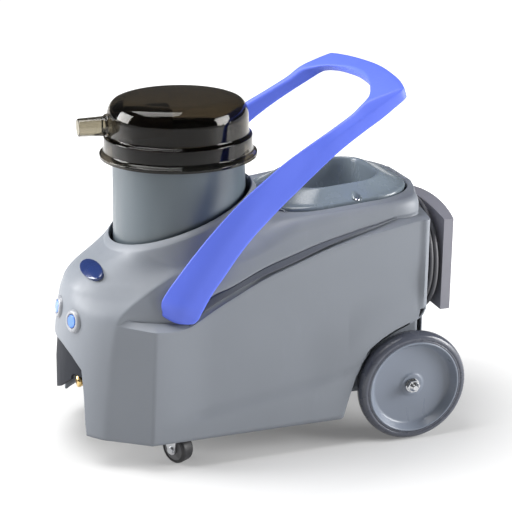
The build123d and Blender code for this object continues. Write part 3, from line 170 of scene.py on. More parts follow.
# smoked clear plastic: faint haze and fine scratches, darker in the skirt below the dome
def smoked(name, colour, bend):
    f = Finish(name)
    haze = f.noise(26.0, 4.0)
    scratch = f.noise(420.0, 2.0, (0.06, 1, 1))
    clear = f.mix(haze, shade(colour, 0.94), shade(colour, 1.05))
    height = f.span(f.along(2), skirt["low"], skirt["high"])
    f.set(Base_Color=f.mix(height, shade(colour, skirt["shade"]), clear))
    f.set(Roughness=f.span(haze + scratch * 0.3, 0.4, 0.95, 0.03, 0.11))
    f.set(Transmission_Weight=1.0, IOR=bend)
    f.set(Normal=f.bump(scratch, 0.02, 0.0002))
    return f.material


finishes = {
    "body": moulded("shellGrey", (0.182, 0.198, 0.224), 0.46, gleam=0.4),
    "dark_trim": moulded("trimCharcoal", (0.026, 0.028, 0.034), 0.6, gleam=0.06),
    "base": moulded("baseGrey", (0.05, 0.05, 0.055), 0.6),
    "tank": moulded("tankBlueGrey", (0.142, 0.172, 0.198), 0.25, depth=0.05),
    "clear_lid": smoked("smokedLid", (0.20, 0.174, 0.135), 1.30),
    "lid_inner": moulded("hoodBrown", (0.06, 0.052, 0.045), 0.4),
    "pipe": moulded("pipeGrey", (0.42, 0.42, 0.42), 0.4),
    "float": moulded("floatOrange", (0.62, 0.26, 0.07), 0.5),
    "handle": moulded("handleBlue", (0.096, 0.146, 0.655), 0.46, depth=0.06, gleam=0.35),
    "badge": moulded("badgeBlue", (0.014, 0.03, 0.12), 0.16, depth=0.02, cloud=0.5, coat=0.6),
    "bezel": moulded("bezelGrey", (0.28, 0.29, 0.315), 0.28, depth=0.03),
    "button": moulded("buttonBlue", (0.075, 0.20, 0.60), 0.28, depth=0.03),
    "store": moulded("storeGrey", (0.185, 0.185, 0.214), 0.45),
    "cable": rubber("cableGrey", (0.075, 0.075, 0.082), 0.5, 0.08),
    "wheel": moulded("wheelGrey", (0.165, 0.188, 0.232), 0.32, depth=0.05),
    "tyre": rubber("tyreGrey", (0.064, 0.070, 0.091), 0.26, 0.05),
    "nylon": moulded("bushNylon", (0.62, 0.61, 0.57), 0.4),
    "caster_wheel": moulded("casterCore", (0.10, 0.10, 0.105), 0.45),
    "caster_tyre": rubber("casterTread", (0.014, 0.014, 0.016), 0.5, 0.06),
    "zinc": metal("zincPlate", (0.62, 0.63, 0.65), 0.34),
    "steel": metal("brightSteel", (0.60, 0.60, 0.61), 0.3, (1, 12, 1)),
    "chrome": metal("chromePlate", (0.60, 0.61, 0.63), 0.16, depth=0.02),
    "brass": metal("turnedBrass", (0.78, 0.56, 0.24), 0.24, (14, 1, 1)),
    "rubber": rubber("gasketBlack", (0.022, 0.022, 0.022)),
    "motor": metal("motorCan", (0.44, 0.44, 0.45), 0.42, (1, 1, 9)),
    "rotor": metal("rotorAlloy", (0.72, 0.72, 0.73), 0.3),
    "switch": moulded("switchBlack", (0.03, 0.03, 0.03), 0.45),
}
slotOf = {row["node"]: row["material_slot"] for row in frame["record"]["subparts"]}
for nodeName, nodeObject in frame["nodes"].items():
    nodeObject.data.materials.clear()
    nodeObject.data.materials.append(finishes[slotOf[nodeName]])
frame["nodes"]["coupler_bracket"].data.materials[0] = metal("bracketZinc", (0.25, 0.255, 0.27), 0.5)
print("finishes made", len(finishes))


# from the millimetres of this script to the metres of the frame
def placed(points):
    return (np.asarray(points, float) + (shiftX, 0.0, 0.0)) * 0.001


def linked(name, data):
    made = bpy.data.objects.new(name, data)
    scene.collection.objects.link(made)
    return made


# a piece from grids of points: every cell of rows and columns is one quad, seams and poles merge
def piece(name, grids, slotName, stands=(), sharp=30.0, wall=0.0, body="machine", finish=None):
    points, cells, start = [], [], 0
    for grid in grids:
        rows, cols = grid.shape[:2]
        index = np.arange(rows * cols).reshape(rows, cols) + start
        quad = np.stack([index[:-1, :-1], index[:-1, 1:], index[1:, 1:], index[1:, :-1]], axis=-1)
        points.append(placed(grid.reshape(-1, 3)))
        cells.append(quad.reshape(-1, 4))
        start += rows * cols
    mesh = bpy.data.meshes.new(name)
    mesh.from_pydata(np.concatenate(points).tolist(), [], np.concatenate(cells).tolist())
    work = bmesh.new()
    work.from_mesh(mesh)
    bmesh.ops.remove_doubles(work, verts=work.verts, dist=0.00002)
    bmesh.ops.dissolve_degenerate(work, edges=work.edges, dist=0.000001)
    bmesh.ops.recalc_face_normals(work, faces=work.faces)
    work.to_mesh(mesh)
    work.free()
    mesh.shade_smooth()
    mesh.set_sharp_from_angle(angle=np.radians(sharp))
    mesh.materials.append(finish or finishes[slotName])
    made = linked(name, mesh)
    if wall:
        thick = made.modifiers.new("wall", "SOLIDIFY")
        thick.thickness = wall * 0.001
        thick.offset = -1.0
    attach(made, body)
    if stands:
        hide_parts(*stands)
    return made


# smooth line through key rows: cubic through the keys, its slopes from the neighbours
def through(keys, at):
    keys = np.asarray(keys, float)
    x, y = keys[:, 0], keys[:, 1:]
    slope = np.gradient(y, x, axis=0)
    at = np.clip(np.asarray(at, float), x[0], x[-1])
    i = np.clip(np.searchsorted(x, at, side="right") - 1, 0, len(x) - 2)
    h = (x[i + 1] - x[i])[..., None]
    u = ((at - x[i])[..., None]) / h
    a = (1 + 2 * u) * (1 - u) ** 2 * y[i] + u * (1 - u) ** 2 * h * slope[i]
    b = u * u * (3 - 2 * u) * y[i + 1] + u * u * (u - 1) * h * slope[i + 1]
    out = a + b
    return out[..., 0] if out.shape[-1] == 1 else out


# smooth step from 0 to 1 between low and high
def ease(value, low, high):
    u = np.clip((value - low) / (high - low), 0, 1)
    return u * u * (3 - 2 * u)


# smooth step up between the first two values, and down again between the others
def within(value, upFrom, upTo, downFrom, downTo):
    return ease(value, upFrom, upTo) * (1 - ease(value, downFrom, downTo))


# straight lines through key pairs
def straight(keys, at):
    return np.interp(at, *np.transpose(keys))


# one choice for each block of stations: up to 1, up to 2 and so on, the last for the rest
def byBlock(station, *choices):
    return np.select([station <= block for block in range(1, len(choices))], choices[:-1], choices[-1])


# three coordinates, spread to one shape, as a grid of points
def sheet(x, y, z):
    return np.stack(np.broadcast_arrays(x, y, z), axis=-1)


# quadratic curve from a by way of b to c
def bent(a, b, c, u):
    return (1 - u) ** 2 * a + 2 * u * (1 - u) * b + u * u * c


# each corner as a curve between points set back from it, at most by a share of the shorter side
def softened(leading, corner, following, back, most, steps):
    ways = leading - corner, following - corner
    longs = [np.maximum(np.linalg.norm(way, axis=-1, keepdims=True), 1e-6) for way in ways]
    back = np.minimum(back[..., None], most * np.minimum(*longs))
    a, b = (corner + way / long * back for way, long in zip(ways, longs))
    u = np.linspace(0, 1, steps)[:, None]
    return bent(a[..., None, :], corner[..., None, :], b[..., None, :], u)


def rounded(corners, radius, steps=5):
    p = np.asarray(corners, float)
    r = np.broadcast_to(np.asarray(radius, float), (len(p),))
    bends = softened(p[:-2], p[1:-1], p[2:], r[1:-1], 0.48, steps)
    return np.concatenate([p[:1], bends.reshape(-1, p.shape[1]), p[-1:]])


# a turned shape: the profile of radius and height goes round the axis through the centre
def turned(profile, centre, axis, count):
    profile = np.asarray(profile, float)
    turn = np.linspace(0, 2 * np.pi, count + 1)
    a = profile[:, :1] * np.cos(turn)
    b = profile[:, :1] * np.sin(turn)
    c = np.broadcast_to(profile[:, 1:], a.shape)
    order = {"z": (a, b, c), "y": (a, c, b), "x": (c, a, b)}[axis]
    return np.stack(order, axis=-1) + np.asarray(centre, float)


# Body skin

shell = {
    "noseX": -335.5, "skirtZ": 50.0, "ledgeZ": 262.0, "half": 165.0, "rearX": 254.5, "rearBow": 22.0,
    "neckX": -117.5, "rimSlope": 0.36, "rimZ": 390.0, "deckZ": 396.0, "deckX": 57.5, "deckSlope": 0.08,
    "seatX": 267.6, "wall": 3.5, "wellHalf": 130.0, "wellZ": 80.0, "corner": 14.0, "facetBack": 124.0,
    "facetLean": 11.0, "cheekBlend": 9.0, "archX": 108.0, "tailZ": 228.0, "sideX": -193.7, "sideLong": 434.0,
}
# upper tier: lean of its rear, turn of its facet, melt of the flank's two lines, curve of the bonnet
upper = {
    "lean": 17.0, "leanLow": 262.0, "leanHigh": 372.0, "turnShare": 0.35, "melt": 6.0, "leave": 0.2,
    "hand": 0.6, "curveLow": 250.0, "curveHigh": 282.0, "soft": 5.0, "softMore": 12.0, "softLow": 290.0,
    "softHigh": 335.0,
}
# height, nose, cheek X and cheek half width of the whole nose, skirt to bonnet
noseKeys = [
    (50, -335.5, -280.5, 120), (100, -335.2, -275.5, 123.5), (150, -333, -270, 127), (200, -328, -265, 131),
    (232, -323.5, -259.5, 133.5), (250, -320, -255, 134.5), (262, -317.5, -248.5, 134.8),
    (274, -313.5, -236.5, 134.3), (285, -309, -221, 133.5), (299, -297, -199, 132), (312, -280, -175.5, 131),
    (338, -247.5, -138, 128), (372, -227.5, -113.5, 120), (425, -165.5, -85.5, 100),
]
# height, flank X and half width, rear half width and rear corner of the upper tier
upperKeys = [
    (236, -99.5, 164, 165, 14), (262, -99.5, 162, 165, 14), (290, -94.5, 158.5, 164, 16),
    (305, -91.5, 158, 163, 18), (320, -86.5, 155.5, 161, 20), (338, -81.5, 152, 158.5, 24),
    (372, -65.5, 145, 148, 32), (425, -45.5, 137, 140, 38),
]
# height of the lower tier's top edge along X, then of the groove band above it, dark from real shade and a
# sheet of painted shade
swooshKeys = [
    (-264, 249), (-242, 246.5), (-201, 242), (-165, 240.5), (-146, 243.5), (-131, 251.5), (-105, 267),
    (-78, 282), (-26, 308.4), (28, 328), (81, 346.5), (136, 360.5), (191, 371), (241, 380), (290, 382),
]
bandKeys = [
    (-264, 2), (-165, 3), (-145, 11), (-130, 18), (-77, 17), (-25, 14.5), (29, 12.5), (82, 9.5), (137, 7.5),
    (192, 4.5), (241, 2.6), (290, 2),
]
# bottom edge: of the nose by half width, of the side over the wheel by X
notchKeys = [
    (0, 191), (28, 191), (40, 189), (56, 184), (68, 178.5), (81, 169), (90, 161.6), (92, 150), (94, 137),
    (97, 117), (99, 97), (101, 73), (103, 61), (104, 50), (140, 50),
]
archKeys = [
    (108, 50), (112, 51), (120, 80), (133, 122), (145, 147), (157, 165), (178, 181), (200, 193), (225, 203),
    (247, 214), (254, 228),
]
# by station: where the upper tier's wall ends, and how far the sweep above it keeps the wall's way
wallTopKeys = [
    (0, 303), (0.6, 303), (0.85, 306), (1, 313), (1.12, 315), (1.5, 318), (2, 323), (2.2, 337), (2.45, 373),
    (2.6, 381), (3, 393), (5, 395),
]
leadKeys = [(0, 14), (0.5, 16), (0.8, 30), (1, 36), (1.3, 30), (2, 22), (2.45, 18), (2.6, 19), (5, 21)]
# the rolled edge of the opening, ring by ring: collar's growth and drop, filler's growth and drop
rimRings = [
    (8.4, 7.2, 2.2, 0.0), (2.4, 0.4, 0.6, 0.3), (1.2, 0.0, 0.2, 0.8), (0.2, 1.2, 0.0, 2.0),
    (0.0, 9.0, 0.0, 12.0), (0.0, 30.0, 0.0, 24.0),
]
# the opening: collar circle, the bridge, and the filler's hole with its front, arc centres and rear
opening = {
    "ring": 116.0, "bridgeX": 3.0, "front": 8.5, "arcX": 87.5, "arcRearX": 183.5, "rear": 262.5, "arcR": 79.0,
    "flat": 35.0, "half": 114.0,
}
# the side's hollow: its crease, its depth, and the fender round the wheel that fills it
hollow = {
    "creaseZ": 66.0, "creaseX": -212.0, "creaseRise": 0.15, "under": 4.0, "over": 27.0, "depth": 8.0,
    "wheelX": 225.0, "wheelZ": 95.0, "fenderR": 112.0, "fender": 6.5, "fenderFrom": 8.0, "fenderTo": 74.0,
}
# ledge between the tiers: drop and inset of its edge rows, height of its foot rows, roll of the upper foot
ledge = {
    "noseZ": 249.0, "noseRise": 5.0, "rearZ": 380.0, "groove": 5.5, "tilt": 7.0, "under": 1.5,
    "edgeRows": ((0.7, 0.3), (0.1, 1.3)), "footRows": ((0.6, 0.0), (0.9, 0.5)), "wallOver": 1.5, "roll": 1.2,
    "rollHigh": 1.5,
}
# sweep up to the opening: its end ring, how far back and down it is drawn, and the deck's shoulder and foot
sweep = {
    "ring": (9.0, 8.0, 3.0, 0.0), "back": 4.0, "backFront": 6.0, "backFiller": 24.0, "drop": 26.0,
    "dropFront": -17.0, "dropFiller": 0.5, "dropCheek": 10.0, "shoulder": 22.0, "foot": 9.0, "turnEnd": 0.4,
}
# sheet of painted shade in the groove: its start, its place to the ledge, the side and the upper tier, its
# loss at the rear
shadeSheet = {"fromX": -150.0, "lift": 0.3, "out": 0.6, "inset": 2.4, "under": 0.6, "tuck": 0.3, "thin": 0.9}


def deckHeight(x):
    return shell["deckZ"] + shell["deckSlope"] * (x - shell["deckX"])


# arc from the nose to the cheek by the share of its turn, and the arc's radius
def noseArc(nose, cheekX, cheekY, share):
    sag = cheekX - nose
    radius = (sag * sag + cheekY * cheekY) / (2 * sag)
    last = np.arctan2(cheekY, radius - sag)
    turn = last * share
    return nose + radius - radius * np.cos(turn), radius * np.sin(turn), radius


# the rear corner from the end of a side at y, then the bowed rear to the middle
def rearEnd(station, half, corner, rearX, bow, y):
    t = np.clip(station - 3, 0, 1)
    bulge = bow * (1 - ((half - corner) / half) ** 2)
    cornerX = rearX - corner + (corner + bulge) * (1 - (1 - t) ** 2)
    rearY = (half - corner) * (1 - np.clip(station - 4, 0, 1))
    return cornerX, y - corner * t**2, rearX + bow * (1 - (rearY / half) ** 2), rearY


# plan point of the lower tier: nose arc, facet, side, rear corner, bowed rear, by the block's own share
def lowerPlan(station, z):
    share = np.clip((z - shell["skirtZ"]) / (shell["ledgeZ"] - shell["skirtZ"]), 0, 1.1)
    nose, cheekX, cheekY = np.moveaxis(through(noseKeys, z), -1, 0)
    edgeX = shell["noseX"] + shell["facetBack"] + shell["facetLean"] * share
    half, corner, blend = shell["half"], shell["corner"], shell["cheekBlend"]
    xa, ya, radius = noseArc(nose, cheekX, cheekY, np.clip(station, 0, 1))
    t = np.clip(station - 1, 0, 1)
    xb = cheekX + (edgeX - cheekX) * t
    yb = cheekY + (half - cheekY) * t
    slant = (half - cheekY) / (edgeX - cheekX)
    # the arc eases into the facet over a few mm each side of the cheek
    flatY = cheekY + slant * (xa - cheekX)
    arcY = np.sqrt(np.maximum(radius**2 - (xb - nose - radius) ** 2, 1.0))
    ya = ya + (flatY - ya) * ease(xa, cheekX - blend, cheekX + blend)
    yb = arcY + (yb - arcY) * ease(xb, cheekX - blend, cheekX + blend)
    t = np.clip(station - 2, 0, 1)
    xc = edgeX + (shell["rearX"] - corner - edgeX) * t
    xd, yd, xe, ye = rearEnd(station, half, corner, shell["rearX"], shell["rearBow"], half)
    return byBlock(station, xa, xb, xc, xd, xe), byBlock(station, ya, yb, half, yd, ye)


# plan point of the upper tier: the same blocks, with a soft flank and a rear that stands further in
def upperPlan(station, z):
    flankX, flankY, rearHalf, corner = np.moveaxis(through(upperKeys, z), -1, 0)
    nose, cheekX, cheekY = np.moveaxis(through(noseKeys, z), -1, 0)
    lean = upper["lean"] * ease(z, upper["leanLow"], upper["leanHigh"])
    rearX = shell["rearX"] - lean
    bow = shell["rearBow"] + lean
    sideEnd = rearX - corner
    turnX = cheekX + upper["turnShare"] * (flankX - cheekX)
    xa, ya, radius = noseArc(nose, cheekX, cheekY, np.clip(station, 0, 1))
    # on the bonnet the arc gives way to a flatter quadratic curve, which leaves an edge at the cheek
    leave, rest = upper["leave"], 1 - upper["leave"]
    last = np.arctan2(cheekY, radius - cheekX + nose)
    leaveX, leaveY, radius = noseArc(nose, cheekX, cheekY, leave)
    hand = upper["hand"] * radius * np.tan(rest / 2 * last)
    handX = leaveX + hand * np.sin(leave * last)
    handY = leaveY + hand * np.cos(leave * last)
    t = np.clip((station - leave) / rest, 0, 1)
    pull = ease(z, upper["curveLow"], upper["curveHigh"]) * (station > leave)
    xa = xa + pull * (bent(leaveX, handX, cheekX, t) - xa)
    ya = ya + pull * (bent(leaveY, handY, cheekY, t) - ya)
    xb = cheekX + (turnX - cheekX) * np.clip(station - 1, 0, 1)
    xc = turnX + (sideEnd - turnX) * np.clip(station - 2, 0, 1)
    x = byBlock(station, xa, xb, xc)
    front = cheekY + (flankY - cheekY) / (flankX - cheekX) * (x - cheekX)
    back = flankY + (rearHalf - flankY) / (sideEnd - flankX) * (x - flankX)
    flank = 0.5 * (front + back - np.sqrt((front - back) ** 2 + upper["melt"] ** 2))
    arc = np.sqrt(np.maximum(radius**2 - (np.minimum(x, nose + radius) - nose - radius) ** 2, 1.0))
    arc = np.where(station <= 1, ya, arc)
    soft = upper["soft"] + upper["softMore"] * ease(z, upper["softLow"], upper["softHigh"])
    y = arc + (flank - arc) * ease(x, cheekX - soft, cheekX + soft)
    xd, yd, xe, ye = rearEnd(station, rearHalf, corner, rearX, bow, y)
    return byBlock(station, x, x, x, xd, xe), byBlock(station, y, y, y, yd, ye)


# columns of the half body: 0 to 1 nose, to 2 facet, to 3 side, to 4 corner, to 5 rear, close where edges run
def stations():
    spans = (
        (0, 0.66, 22), (0.66, 0.86, 22), (0.86, 1, 8), (1, 2, 22), (2, 2.7, 64), (2.7, 2.8, 26), (2.8, 3, 24),
        (3, 4, 12), (4, 4.12, 4), (4.12, 4.17, 8), (4.17, 5, 14),
    )
    return np.concatenate([[0.0]] + [np.linspace(*span)[1:] for span in spans])


# station of a place along the side
def edgeStation(x):
    return 2 + (x - shell["sideX"]) / shell["sideLong"]


# opening edge for each column: collar circle, the bridge, then the filler's rounded rectangle
def openingEdge(station, collarGrow, collarDrop, fillerGrow, fillerDrop):
    bearingAt = [0, 1, 2, edgeStation(-60), edgeStation(-10), edgeStation(0)]
    turn = np.radians(np.interp(station, bearingAt, [180, 128, 105, 60, 14, 0]))
    collar = opening["ring"] + collarGrow
    cx = np.minimum(shell["neckX"] + collar * np.cos(turn), opening["bridgeX"])
    cy = collar * np.sin(turn)
    cz = shell["rimZ"] + shell["rimSlope"] * (cx - shell["neckX"]) - collarDrop
    # walk round the filler's hole: front, arc, side, rear arc, rear
    walkAt = [edgeStation(8), edgeStation(24), edgeStation(90), edgeStation(180), 4.3, 4.6, 5]
    walk = np.interp(station, walkAt, [0, 1, 2, 3, 3.7, 4, 5])
    r, flat = opening["arcR"] + fillerGrow, opening["flat"]
    arcX, arcRearX = opening["arcX"], opening["arcRearX"]
    first = np.pi - np.clip(walk - 1, 0, 1) * np.pi / 2
    second = np.pi / 2 - np.clip(walk - 3, 0, 1) * np.pi / 2
    front, rear = opening["front"] - fillerGrow, opening["rear"] + fillerGrow
    sideX = arcX + (arcRearX - arcX) * np.clip(walk - 2, 0, 1)
    sideY = opening["half"] + fillerGrow
    fx = byBlock(walk, front, arcX + r * np.cos(first), sideX, arcRearX + r * np.cos(second), rear)
    firstY, secondY = flat + r * np.sin(first), flat + r * np.sin(second)
    fy = byBlock(walk, flat * walk, firstY, sideY, secondY, flat * (5 - walk))
    fz = deckHeight(fx) - fillerDrop
    w = ease(station, edgeStation(0), edgeStation(8))
    return sheet(cx + (fx - cx) * w, cy + (fy - cy) * w, cz + (fz - cz) * w), w, turn


# the side stands back between its low flare, the fender round the arch and the groove
def sideHollow(x, z):
    crease = hollow["creaseZ"] + hollow["creaseRise"] * (x - hollow["creaseX"])
    depth = hollow["depth"] * ease(z, crease - hollow["under"], crease + hollow["over"])
    away = np.hypot(np.maximum(x, 120) - hollow["wheelX"], z - hollow["wheelZ"])
    fade = 1 - ease(away - hollow["fenderR"], hollow["fenderFrom"], hollow["fenderTo"])
    fender = hollow["fender"] * fade * ease(x, 40, 150)
    return np.maximum(depth - fender, -0.5) * (1 - 0.5 * ease(z, 240, 350))


# by column: X of the lower tier, its bottom and top edge, the line under the upper tier and the band over it
def tierEdges(st):
    lowX, lowY = lowerPlan(st, np.full_like(st, 200.0))
    # bottom edge: notch in the nose, wheel arch in the side, well behind it, level elsewhere
    skirtZ, tailZ = shell["skirtZ"], shell["tailZ"]
    sideLow = np.where(lowX < shell["archX"], skirtZ, straight(archKeys, lowX))
    rearLow = tailZ - (tailZ - shell["wellZ"]) * ease(-lowY, -132, -129)
    bottom = byBlock(st, straight(notchKeys, lowY), skirtZ, sideLow, tailZ, rearLow)
    shelf = np.where(st < 1, ledge["noseZ"] + ledge["noseRise"] * (1 - st), through(swooshKeys, lowX))
    shelf = np.where(st > 3, ledge["rearZ"], shelf)
    band = np.where(st > 3, 2.6 - 0.6 * ease(st, 3, 4), through(bandKeys, lowX))
    # the upper tier's columns stand at other X, so its foot reads the line and the band at its own X
    own = within(st, 1.0, 1.4, 2.55, 3.0)
    footZ, footBand = shelf, band
    for _ in range(3):
        footX = upperPlan(st, footZ + footBand)[0]
        footZ = shelf + (through(swooshKeys, footX) - shelf) * own
        footBand = band + (through(bandKeys, footX) - band) * own
    return lowX, bottom, shelf, footZ, footBand


# rows from the top of the upper tier's wall to the opening
def sweepRows(st, wallTop):
    last = sheet(*upperPlan(st, wallTop), wallTop)
    rise = last - sheet(*upperPlan(st, wallTop - 4), wallTop - 4)
    rise /= np.linalg.norm(rise, axis=-1, keepdims=True)
    edge, share, turn = openingEdge(st, *sweep["ring"])
    toWall = (last - edge) * (1, 1, 0)
    reach = np.linalg.norm(toWall, axis=-1, keepdims=True)
    toWall /= np.maximum(reach, 1e-6)
    # at the collar: a cubic that starts the wall's way and rises into the rim
    frontness = ease(-np.cos(turn), 0.25, 1.0)
    back = (sweep["back"] + sweep["backFront"] * frontness) * (1 - share) + sweep["backFiller"] * share
    drop = (sweep["drop"] + sweep["dropFront"] * frontness) * (1 - share) + sweep["dropFiller"] * share
    drop = drop + sweep["dropCheek"] * within(st, 0.5, 0.9, 1.6, 2.2)
    c1 = last + rise * straight(leadKeys, st)[:, None]
    c2 = edge + toWall * np.minimum(back[:, None], 0.5 * reach) - sheet(0.0, 0.0, drop)
    u = np.linspace(0, 1, 24)[1:, None, None]
    curve = (1 - u) ** 3 * last + 3 * u * (1 - u) ** 2 * c1 + 3 * u * u * (1 - u) * c2 + u**3 * edge
    # behind the collar: a rounded shoulder, then the deck, which turns up only at the collar's foot
    level = deckHeight(last[:, 0])
    knee = last + rise * ((level - wallTop) / np.maximum(rise[:, 2], 0.3))[:, None]
    land = last - toWall * np.minimum(sweep["shoulder"], 0.4 * reach)
    land[:, 2] = deckHeight(land[:, 0])
    foot = edge + toWall * np.minimum(sweep["foot"], 0.4 * reach)
    foot[:, 2] = np.minimum(deckHeight(foot[:, 0]), edge[:, 2] + 0.2)
    turnEnd = sweep["turnEnd"]
    bend = bent(last, knee, land, np.clip(u / turnEnd, 0, 1))
    flat = bent(land, foot, edge, np.clip((u - turnEnd) / (1 - turnEnd), 0, 1))
    decked = np.where(u <= turnEnd, bend, flat)
    return curve + (decked - curve) * ease(st, edgeStation(-75), edgeStation(5))[:, None]


# half of the body as one grid from the bottom edge up to the opening, and the sheet of painted shade in its
# groove
def bodyHalf():
    st = stations()
    lowX, bottom, shelf, footZ, footBand = tierEdges(st)
    sideNow = within(st, 2.0, 2.22, 2.97, 3.3)
    z = bottom + (shelf - ledge["under"] - bottom) * np.linspace(0, 1, 36)[:, None]
    x, y = lowerPlan(st, z)
    rows = [sheet(x, y - sideNow * sideHollow(x, z), z)]

    # rounded top edge, ledge, and the groove under the upper tier; all of it fades out on the nose
    opened = ease(st, 1.02, 1.3)
    for under, inset in ledge["edgeRows"]:
        x, y = lowerPlan(st, shelf - under)
        y = y - sideNow * sideHollow(x, shelf) - inset * opened
        rows.append(sheet(x, y, shelf - under)[None])
    groove = ledge["groove"] * ease(st, edgeStation(-160), edgeStation(-118)) * (1 - 0.6 * ease(st, 2.4, 3))
    groove = groove * (1 - ease(st, 3.0, 3.9))
    tilt = ledge["tilt"] * opened * (1 - ease(st, edgeStation(-150), edgeStation(-100)))
    for over, lift in ledge["footRows"]:
        level = footZ + over + tilt + lift * opened
        x, y = upperPlan(st, level)
        rows.append(sheet(x, y - groove, level)[None])

    # wall of the upper tier, its foot rolled in, then the sweep and the rolled edge of the opening
    wallLow, wallTop = footZ + footBand + tilt + ledge["wallOver"], straight(wallTopKeys, st)
    z = wallLow + (wallTop - wallLow) * np.linspace(0, 1, 26)[:, None]
    x, y = upperPlan(st, z)
    rolled = ledge["roll"] * np.exp(-((z - wallLow) / ledge["rollHigh"])) * opened
    rows += [sheet(x, y - rolled, z), sweepRows(st, wallTop)]
    rows += [openingEdge(st, *rimRing)[0][None] for rimRing in rimRings]
    grid = np.concatenate(rows)
    # the cord winding has its flat seat in the rear wall
    grid[..., 0] = np.minimum(grid[..., 0], shell["seatX"])

    # sheet of painted shade on the side, from the lower tier's edge to the upper tier's foot, thinning to the
    # rear
    shadeCols = (lowX > shadeSheet["fromX"]) & (st > 1.9) & (st <= 3.0)
    level, top = footZ + shadeSheet["lift"], wallLow - shadeSheet["under"]
    x, y = upperPlan(st, level + tilt)
    outmost = shell["half"] - sideNow * sideHollow(x, level) - shadeSheet["inset"]
    low = sheet(x, np.maximum(y - groove + shadeSheet["out"], outmost), level)[shadeCols]
    x, y = upperPlan(st, top)
    high = sheet(x, y - shadeSheet["tuck"], top)[shadeCols]
    low = low + (high - low) * (shadeSheet["thin"] * ease(st[shadeCols], 2.3, 2.98)[:, None])
    return grid, low + (high - low) * np.linspace(0, 1, 6)[:, None, None]


# wheel well: the arch line carried inwards, then a flat inner panel down to the base
def wheelWell():
    x = np.concatenate([np.linspace(shell["archX"], 140, 16)[:-1], np.linspace(140, 254, 26)])
    z = straight(archKeys, x)
    inward = np.linspace(shell["half"] - 1.5, shell["wellHalf"], 7)[:, None]
    down = np.linspace(0, 1, 8)[:, None]
    low = np.minimum(z, shell["wellZ"])
    return [sheet(x, inward, z), sheet(x, shell["wellHalf"], z + (low - z) * down)]


mirror = np.array([1.0, -1.0, 1.0])


def bothSides(grids):
    return grids + [grid * mirror for grid in grids]


# the body's half, and the dark sheet of painted shade for its groove
half, grooveShadeSheet = bodyHalf()
bodySkin = piece("bodySkin", bothSides([half]), "body", ("body_shell",), 34, shell["wall"])
piece("wheelWells", bothSides(wheelWell()), "body", (), 40, 2.5)

# painted shade in the groove: darkest by the handle's foot, paler towards the rear where the groove runs out
shadePaint = Finish("grooveShadePaint")
rearward = shadePaint.span(shadePaint.along(0), -0.10, 0.10)
shadePaint.set(Base_Color=shadePaint.mix(rearward, (0.052, 0.058, 0.076, 1), (0.108, 0.117, 0.140, 1)))
shadePaint.set(Roughness=0.55, Specular_IOR_Level=0.2)
piece("grooveShadeSheets", bothSides([grooveShadeSheet]), "dark_trim", (), 40, 0.8, finish=shadePaint.material)
print("body skin", len(bodySkin.data.polygons))


# Handle

handlePlan = {
    "roundLow": (3.0, 3.0, 27.0, 7.0, 8.0), "roundHigh": (5.0, 7.0, 2.4, 3.2, 5.0), "softFrom": 190.0,
    "crispFrom": 340.0, "footRun": 60.0,
}
